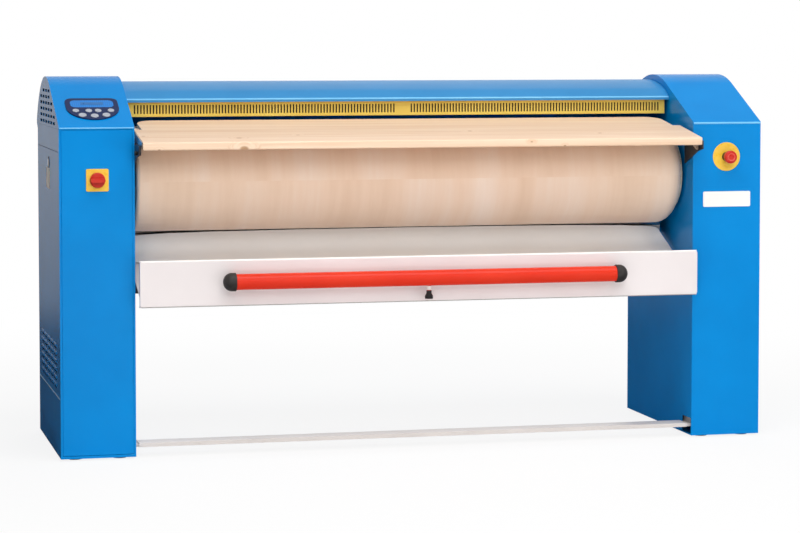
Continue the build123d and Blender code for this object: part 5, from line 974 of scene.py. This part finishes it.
    def slot_shade_sheet(self) -> None:
        """Put a dark sheet behind the guard's slots: painted shade, so that they read dark brown."""
        piece = start_block("guard_painted_slot_shade", *(placed(corner) for corner in self.shade_sheet))
        ease(piece, 0.003, 3, along(1))
        settle(piece, body_of("finger_guard"), SLOT_SHADE_SHEET)

    def rivets(self) -> None:
        """Rivet the plate on the left door by its four corners."""
        x, y, z = placed(self.door_plate.place)
        wide, high = (size - 2 * self.rivet_inset for size in self.door_plate.size[1:])
        face, start = -self.door_face, (y - wide / 2, z - high / 2)
        piece = start_rod("left_data_plate_rivets", (face - 0.0016, *start), (face - 0.0006, *start),
                          self.rivet_radius, 12)
        ease(piece, 0.0007, 2, lambda middle, run: middle.x < face - 0.0014)
        repeat(piece, [Matrix.Translation((0, a * wide, b * high)) for a in (0, 1) for b in (0, 1)])
        settle(piece, "left_door", PLATED_STEEL)


@dataclass
class Roll:
    """Padded roll: a cotton cover drawn over felt, gathered round both rims."""

    radius: float = 0.157
    left_end: float = -0.864
    right_end: float = 0.863
    left_round: float = 0.012
    right_round: float = 0.052
    rim: float = 0.056
    opening: float = 0.112
    depth: float = 0.190
    height: float = 0.8235
    cloth: float = 0.002
    felt: float = 0.009
    gathers: int = 44
    sides: int = 176
    ring: float = 0.1
    rings: int = 8

    def build(self) -> None:
        """Build the felt and the cover over it."""
        felt = self.sleeve("roll_felt_pad", self.cloth + 0.0002, self.felt - 0.001, 0.0)
        settle(felt, "roll", FELT, ["roll_padding"])
        cover = self.sleeve("roll_cotton_cover", 0.0, self.cloth * 0.5, 0.0011)
        settle(cover, "roll", COTTON, ["roll_cloth"], angle=60)

    def sleeve(self, name: str, inset: float, wall: float, gather: float) -> Piece:
        """Model one layer: a closed sleeve with rounded rims, open in the middle of its ends.

        Args:
            name: Name of the piece.
            inset: How far it lies inside the cover's outside.
            wall: Thickness.
            gather: How far the gathers stand out of the rims.

        Returns:
            The object, with its own map in metres.
        """
        y, z, radius = at(self.depth), self.height, self.radius - inset
        ends = (self.left_end + inset, self.right_end - inset)
        piece = start_rod(name, (ends[0], y, z), (ends[1], y, z), radius, self.sides)
        pick(piece, "FACE", along(0))
        bpy.ops.mesh.inset(thickness=radius - self.opening)
        bpy.ops.mesh.delete(type="FACE")
        for end, turn in zip(ends, (self.left_round, self.right_round)):
            ease(piece, turn, 9, lambda middle, run: abs(run.x) < ACROSS and abs(middle.x - end) < NEAR
                 and hypot(middle.y - y, middle.z - z) > radius * 0.9)
        for step in range(-self.rings, self.rings + 1):
            open_mesh(piece)
            bpy.ops.mesh.bisect(plane_co=(step * self.ring, 0, 0), plane_no=(1, 0, 0))
        turn_out(piece)
        self.drape(piece, gather, ends)
        apply_modifier(piece, "SOLIDIFY", thickness=wall, offset=-1.0)
        self.unroll(piece)
        return piece

    def drape(self, piece: Piece, gather: float, ends: tuple[float, float]) -> None:
        """Move the cloth as its drawstring and its use do: gathers at the rims, slow waves along it.

        Args:
            piece: The object, in edit mode.
            gather: How far the gathers stand out of the rims.
            ends: X of both ends.
        """
        for vertex in bmesh.from_edit_mesh(piece.data).verts:
            across = Vector((0, vertex.co.y - at(self.depth), vertex.co.z - self.height))
            turn = atan2(across.z, across.y)
            rim = max(0.0, 1 - min(vertex.co.x - ends[0], ends[1] - vertex.co.x) / self.rim)
            wave = 0.35 * sin(vertex.co.x * 21 + 1.7 * sin(2 * turn)) + 0.25 * sin(vertex.co.x * 47 + turn)
            fold = rim * (0.5 + 0.5 * sin(turn * self.gathers + 0.8 * sin(5 * turn)))
            vertex.co -= across.normalized() * gather * (0.3 * (1 - wave) + 0.9 * fold)
        bmesh.update_edit_mesh(piece.data)

    def unroll(self, piece: Piece) -> None:
        """Lay the piece's map out flat in metres: along the roll and round it.

        Args:
            piece: The object.
        """
        chart = piece.data.uv_layers.new(name="cloth")
        for face in piece.data.polygons:
            middle = atan2(face.center.z - self.height, face.center.y - at(self.depth))
            for corner in face.loop_indices:
                point = piece.data.vertices[piece.data.loops[corner].vertex_index].co
                turn = atan2(point.z - self.height, point.y - at(self.depth))
                turn += 2 * pi * round((middle - turn) / (2 * pi))
                chart.data[corner].uv = (point.x, turn * self.radius)


@dataclass
class FeedTable:
    """Wooden feed board with the plates, brackets and knobs that carry it."""

    def build(self) -> None:
        """Stand in the board with its eased edges and what carries it."""
        softened("feed_board", 0.0016, 3)
        softened("board_hinge_plates", 0.0004)
        softened("board_brackets", 0.0007, finish=MID_GREY_COAT)
        softened("board_pivot_knobs", 0.0012, 3, KNOB_PLASTIC)


@dataclass
class Delivery:
    """White delivery chute with the knee bar across its front, and the bars and covers round it.

    Rim and lower edge are rods along X, by their depth, Z and radius; the bush by its two heights and its
    radius. The sweep is the curve of its plate, by depth and Z, and above the splay's height its right end
    leans in by the splay's slope.
    """

    sweep: tuple[tuple[float, float], ...] = ((0.128, 0.5665), (0.160, 0.5795), (0.180, 0.5890), (0.194, 0.5990),
                                              (0.2045, 0.6125), (0.2115, 0.6280), (0.2160, 0.6445), (0.2185, 0.6625))
    half_width: float = 0.8635
    splay: tuple[float, float] = (0.596, 0.553)
    plate: float = 0.0012
    bush: Point = (0.4955, 0.5075, 0.0072)
    rim: Point = (-0.0543, 0.5905, 0.0055)
    lower_edge: Point = (-0.0570, 0.4588, 0.0022)
    cap_length: float = 0.038
    cap_dome: float = 0.0258

    def build(self) -> None:
        """Stand in the chute, the bar and what the bar slides on."""
        softened("delivery_chute", 0.0007)
        softened("knee_bar", 0.001)
        self.caps()
        softened("bar_knob", 0.0008)
        softened("foot_bar", 0.0008, finish=PALE_COAT)
        self.knob_bush()
        softened("chest_cover", 0.0008, finish=CREAM_ENAMEL)
        self.sweep_plate()
        # The rolled rim takes the brighter white: a painted highlight along the chute's top edge.
        self.edge_rod("chute_rolled_rim", self.rim, 0.0055, 24, LIT_WHITE_COAT, 0.7)
        # The lower hem is grey: painted shade where the chute's bottom bend turns under.
        self.edge_rod("chute_lower_hem", self.lower_edge, 0.0025, 16, HEM_SHADE_COAT)

    def edge_rod(self, name: str, line: Point, past: float, sides: int, finish: Finish,
                 rounded: float = 0.0) -> None:
        """Roll an edge of the chute's sheet over, from end to end.

        Args:
            name: Name of the piece.
            line: Its depth, Z and radius.
            past: How far it reaches past the sweep plate.
            sides: Steps round it.
            finish: What it is made of.
            rounded: How much of its radius its ends are rounded by.
        """
        (depth, z, radius), end = line, self.half_width + past
        piece = start_rod(name, (-end, at(depth), z), (end, at(depth), z), radius, sides)
        if rounded:
            ease(piece, radius * rounded, 4, lambda middle, run: abs(middle.x) > end - NEAR)
        settle(piece, body_of("delivery_chute"), finish)

    def knob_bush(self) -> None:
        """Slip the pale bush over the stub that the knob under the bar slides on."""
        low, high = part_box("bar_knob")
        y, (bottom, top, radius) = (low.y + high.y) / 2, self.bush
        piece = start_rod("bar_knob_bush", (0, y, bottom), (0, y, top), radius, 24)
        ease(piece, 0.0012, 3, lambda middle, run: middle.z < bottom + NEAR)
        settle(piece, body_of("knee_bar"), NYLON)

    def sweep_plate(self) -> None:
        """Sweep the chute's floor up to the roll by a curved plate, over which the linen slides down."""
        first, low = at(self.sweep[0][0]), self.sweep[0][1]
        piece = start_block("chute_sweep_plate", (-self.half_width, first, low),
                            (self.half_width, first + 0.001, low + 0.001))
        pick(piece, "VERT", lambda middle, normal: middle.y > first + 0.0005 or middle.z > low + 0.0005)
        bpy.ops.mesh.delete(type="VERT")
        bpy.ops.mesh.select_mode(type="EDGE")
        for start, end in zip(self.sweep, self.sweep[1:]):
            pick(piece, "EDGE", lambda middle, run: abs(middle.y - at(start[0])) < 1e-5 and abs(run.x) > ALONG)
            bpy.ops.mesh.extrude_region_move(TRANSFORM_OT_translate={
                "value": (0.0, end[0] - start[0], end[1] - start[1])})
        for vertex in bmesh.from_edit_mesh(piece.data).verts:
            if vertex.co.x > 0:
                vertex.co.x -= max(0.0, vertex.co.z - self.splay[0]) * self.splay[1]
        bmesh.update_edit_mesh(piece.data)
        apply_modifier(piece, "SUBSURF", levels=2, subdivision_type="CATMULL_CLARK")
        apply_modifier(piece, "SOLIDIFY", thickness=self.plate, offset=0.0)
        turn_out(piece)
        # The brighter white is painted light in the shade under the roll and the board.
        settle(piece, body_of("delivery_chute"), LIT_WHITE_COAT)

    def caps(self) -> None:
        """Push a domed rubber cap on each end of the knee bar."""
        low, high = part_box("knee_bar_caps")
        y, z, radius = (low.y + high.y) / 2, (low.z + high.z) / 2, (high.z - low.z) / 2
        for side, sign in SIDES:
            tip = sign * high.x
            piece = start_rod(f"knee_bar_{side}_dome", (tip - sign * self.cap_length, y, z), (tip, y, z), radius, 40)
            ease(piece, self.cap_dome, 9, lambda middle, run: abs(middle.x) > high.x - NEAR)
            ease(piece, 0.0016, 2,
                 lambda middle, run: abs(middle.x) < high.x - self.cap_length + NEAR and abs(run.x) < ACROSS)
            settle(piece, body_of("knee_bar_caps"), RUBBER, ["knee_bar_caps"])


@dataclass
class Controls:
    """Control panel, main switch, emergency stop and the rings of the door locks.

    The field has three half sizes, the dish how far it starts inside the head, how far it stands out and its
    radius, the lock its depth and Z, and its ring a radius, a wall and a height.
    """

    keys: int = 7
    field: Point = (0.034, 0.0085, 0.0010)
    dish: Point = (0.002, 0.0009, 0.0128)
    lock: tuple[float, float] = (0.293, 0.875)
    lock_ring: Point = (0.0175, 0.0048, 0.0016)
    door_face: float = 1.0998

    def build(self) -> None:
        """Stand in the panel, its window and keys, both switches and the rings of the door locks."""
        softened("control_panel", 0.0010, 3)
        softened("display_window", 0.0003)
        for number in range(1, self.keys + 1):
            softened(f"panel_key_{number}", 0.0004)
        softened("switch_plates", 0.0008, 3)
        softened("main_switch_knob", 0.0008)
        self.display_field()
        self.stop_dish()
        for side, sign in SIDES:
            self.lock_surround(side, sign)

    def display_field(self) -> None:
        """Set one empty, darker field in the middle of the display."""
        low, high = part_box("display_window")
        middle, half = (low + high) / 2, Vector(self.field)
        piece = start_block("display_blank_field", tuple(middle - half), tuple(middle + half))
        ease(piece, 0.002, 3, along(2))
        take(piece)
        piece.data.transform(turned(DISPLAY.slope, "X", tuple(middle)))
        settle(piece, body_of("display_window"), FIELD_FILM)

    def stop_dish(self) -> None:
        """Mould the shallow dish in the emergency stop's head, with its raised rim, in a lighter red that is a
        painted highlight.
        """
        (low, high), (sunk, proud, radius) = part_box("stop_head"), self.dish
        x, z = (low.x + high.x) / 2, (low.z + high.z) / 2
        piece = start_rod("stop_head_dish", (x, low.y + sunk, z), (x, low.y - proud, z), radius, 40)
        recess(piece, lambda middle, normal: middle.y < low.y - proud + NEAR, 0.0026, 0.0022, -0.0015)
        settle(piece, body_of("stop_head"), RING_HIGHLIGHT_PLASTIC)

    def lock_surround(self, side: str, sign: int) -> None:
        """Seat the black ring that keeps the door's paint from the lock's flange.

        Args:
            side: left or right.
            sign: That side's sign along X.
        """
        (depth, z), (radius, wall, height) = self.lock, self.lock_ring
        piece = start_rod(f"{side}_lock_ring", (sign * self.door_face, at(depth), z),
                          (sign * (self.door_face + height), at(depth), z), radius, 36)
        pick(piece, "FACE", along(0))
        bpy.ops.mesh.inset(thickness=wall)
        bpy.ops.mesh.bridge_edge_loops()
        settle(piece, f"{side}_door", BLACK_PLASTIC)


@dataclass(frozen=True)
class Softbox:
    """Soft rectangular lamp: its place, what it faces, its size, its watts and whether gloss reflects it."""

    name: str
    place: Point
    target: Point
    size: tuple[float, float]
    power: float
    mirrored: bool = True

    def build(self) -> None:
        """Hang the lamp, unseen by the camera."""
        deselect()
        turn = (Vector(self.target) - Vector(self.place)).to_track_quat("-Z", "Y").to_euler()
        bpy.ops.object.light_add(type="AREA", location=self.place, rotation=turn)
        lamp = bpy.context.active_object
        lamp.name = self.name
        lamp.data.shape = "RECTANGLE"
        lamp.data.size, lamp.data.size_y = self.size
        lamp.data.energy = self.power
        lamp.visible_camera, lamp.visible_glossy = False, self.mirrored


@dataclass
class Studio:
    """Pale floor, soft lamps and the camera at the photograph's place."""

    camera_place: Point = (-1.895443, -7.848544, 1.249213)
    camera_turn: Point = (86.72, 0.0, -13.588)
    lens: float = 115.386
    shift: float = -0.1
    floor_size: float = 60.0
    bright_from: tuple[float, float] = (1.4, 3.6)
    shadow_share: float = 0.86
    room_light: float = 0.26
    tub: Point = (2.9, 2.0, 1.002)
    tub_shades: Stops = ((0.0, "#3A3634"), (0.035, "#5C5C60"), (0.10, "#A2A4A8"), (0.35, "#C8C8CA"),
                         (0.62, "#E4E4E6"), (0.96, "#DCDADE"), (1.0, "#BDBBC0"))
    tub_front: float = 0.06
    card_place: Point = (-1.9, 0.2, 0.75)
    card_size: Point = (1.48, 3.0, 1.0)
    lamps: tuple[Softbox, ...] = (
        Softbox("front_softbox", (-0.6, -5.8, 3.5), (0.0, -0.2, 0.6), (5.0, 2.2), 113),
        Softbox("right_softbox", (2.9, -5.0, 1.55), (1.0, -0.3, 0.95), (1.3, 1.7), 19),
        Softbox("top_softbox", (0.2, -1.8, 4.4), (0.0, 0.0, 0.8), (4.5, 2.2), 140),
        Softbox("floor_softbox", (-0.2, -2.6, 0.03), (0.0, 0.2, 0.85), (3.4, 1.2), 20, False),
        Softbox("back_softbox", (1.3, 5.0, 2.5), (0.1, 0.3, 0.8), (3.6, 1.8), 110))

    def build(self) -> None:
        """Set up floor, world, reflections, lamps and camera."""
        scene = bpy.context.scene
        scene.view_settings.view_transform = "Standard"
        self.floor()
        self.world(scene)
        self.reflected_walls()
        self.left_card()
        for lamp in self.lamps:
            lamp.build()
        deselect()
        bpy.ops.object.camera_add(location=self.camera_place, rotation=[radians(a) for a in self.camera_turn])
        camera = bpy.context.active_object
        camera.name = "camera"
        camera.data.lens, camera.data.sensor_width = self.lens, 36.0
        camera.data.shift_y, camera.data.clip_end = self.shift, 100
        scene.camera = camera

    def shown(self, tree: Tree) -> bpy.types.Node:
        """Tell camera, glossy and transmission rays, which see the plain background, from the rest.

        Args:
            tree: The node tree.

        Returns:
            The node that gives 1 for those rays.
        """
        path = add_node(tree, "LightPath")
        seen = add_node(tree, "Math", {0: path.outputs["Is Camera Ray"], 1: path.outputs["Is Glossy Ray"]},
                        operation="MAXIMUM")
        return add_node(tree, "Math", {0: seen, 1: path.outputs["Is Transmission Ray"]}, operation="MAXIMUM")

    def floor(self) -> None:
        """Lay the pale floor, which the camera sees as white but for the machine's shadow."""
        deselect()
        bpy.ops.mesh.primitive_plane_add(size=self.floor_size)
        floor = newest("studio_floor")
        paint = bpy.data.materials.new("studio_floor_white")
        tree = empty_tree(paint)
        place = add_node(tree, "TexCoord").outputs["Object"]
        away = add_node(tree, "VectorMath", {0: place}, operation="LENGTH")
        near, far = self.bright_from
        lit = add_node(tree, "MapRange", {"Value": away.outputs["Value"], 1: near, 2: far, 3: self.shadow_share,
                                          4: 1.0}, interpolation_type="SMOOTHSTEP")
        share = add_node(tree, "Math", {0: self.shown(tree), 1: lit}, operation="MULTIPLY")
        matt = add_node(tree, "BsdfDiffuse", {"Color": linear("#F2F2F2")})
        white = add_node(tree, "Emission", {"Color": linear("#FFFFFF"), "Strength": 1.0})
        mixed = add_node(tree, "MixShader", {0: share, 1: matt, 2: white})
        add_node(tree, "OutputMaterial", {"Surface": mixed})
        floor.data.materials.append(paint)

    def world(self, scene: bpy.types.Scene) -> None:
        """Light the room evenly, and show white to camera, glossy and transmission rays.

        Args:
            scene: The scene.
        """
        scene.world = bpy.data.worlds.new("studio_room")
        tree = empty_tree(scene.world)
        level = add_node(tree, "MapRange", {"Value": self.shown(tree), 3: self.room_light, 4: 1.0})
        room = add_node(tree, "Background", {"Color": linear("#FFFFFF"), "Strength": level})
        add_node(tree, "OutputWorld", {"Surface": room})

    def card(self, card: Piece, shades: Stops, front: float) -> None:
        """Make a stage card that glows by its height up to 2 m, and by this share less at the front.

        Args:
            card: The object.
            shades: Its glow from the floor up.
            front: What is left of it at the front.
        """
        cloth = bpy.data.materials.new(card.name + "_cloth")
        tree = empty_tree(cloth)
        place = add_node(tree, "TexCoord").outputs["Object"]
        axes = add_node(tree, "SeparateXYZ", {0: place})
        rise = add_node(tree, "MapRange", {"Value": axes.outputs["Z"], 1: 0.0, 2: 2.0})
        tone = add_node(tree, "ValToRGB", {"Fac": rise}, shades)
        level = add_node(tree, "MapRange", {"Value": axes.outputs["Y"], 1: -1.0, 2: 1.0, 3: front, 4: 1.0})
        glow = add_node(tree, "Emission", {"Color": tone, "Strength": level})
        add_node(tree, "OutputMaterial", {"Surface": glow})
        card.data.materials.append(cloth)
        card.visible_camera = card.visible_transmission = False

    def reflected_walls(self) -> None:
        """Stand a tub round the machine that only its gloss reflects: dim studio walls over a dark floor."""
        deselect()
        radius, depth, middle = self.tub
        bpy.ops.mesh.primitive_cylinder_add(vertices=64, radius=radius, depth=depth, location=(0, 0, middle))
        tub = newest("studio_walls")
        tub.visible_diffuse = tub.visible_shadow = False
        self.card(tub, self.tub_shades, self.tub_front)

    def left_card(self) -> None:
        """Hold a black card off the left side, which keeps the room's light from it."""
        deselect()
        bpy.ops.mesh.primitive_plane_add(size=1, location=self.card_place, rotation=(0, pi / 2, 0))
        card = newest("left_black_card", self.card_size)
        card.visible_glossy = False
        self.card(card, ((0.0, "#050505"), (1.0, "#0A0A0A")), 1.0)


def dress_nodes() -> None:
    """Give every CAD node that still shows the finish of its slot."""
    for name, node in frame["nodes"].items():
        finish = SLOT_FINISH[slot_of(name)].material()
        for slot in node.material_slots:
            slot.material = finish


def main() -> None:
    """Build every sub-assembly's looks, then the studio."""
    logging.basicConfig(level=logging.INFO, format="%(name)s %(message)s")
    dress_nodes()
    for assembly in (Shells(), Roll(), FeedTable(), Delivery(), Controls(), Studio()):
        log.info("building %s", type(assembly).__name__)
        assembly.build()


if __name__ == "__main__":
    main()
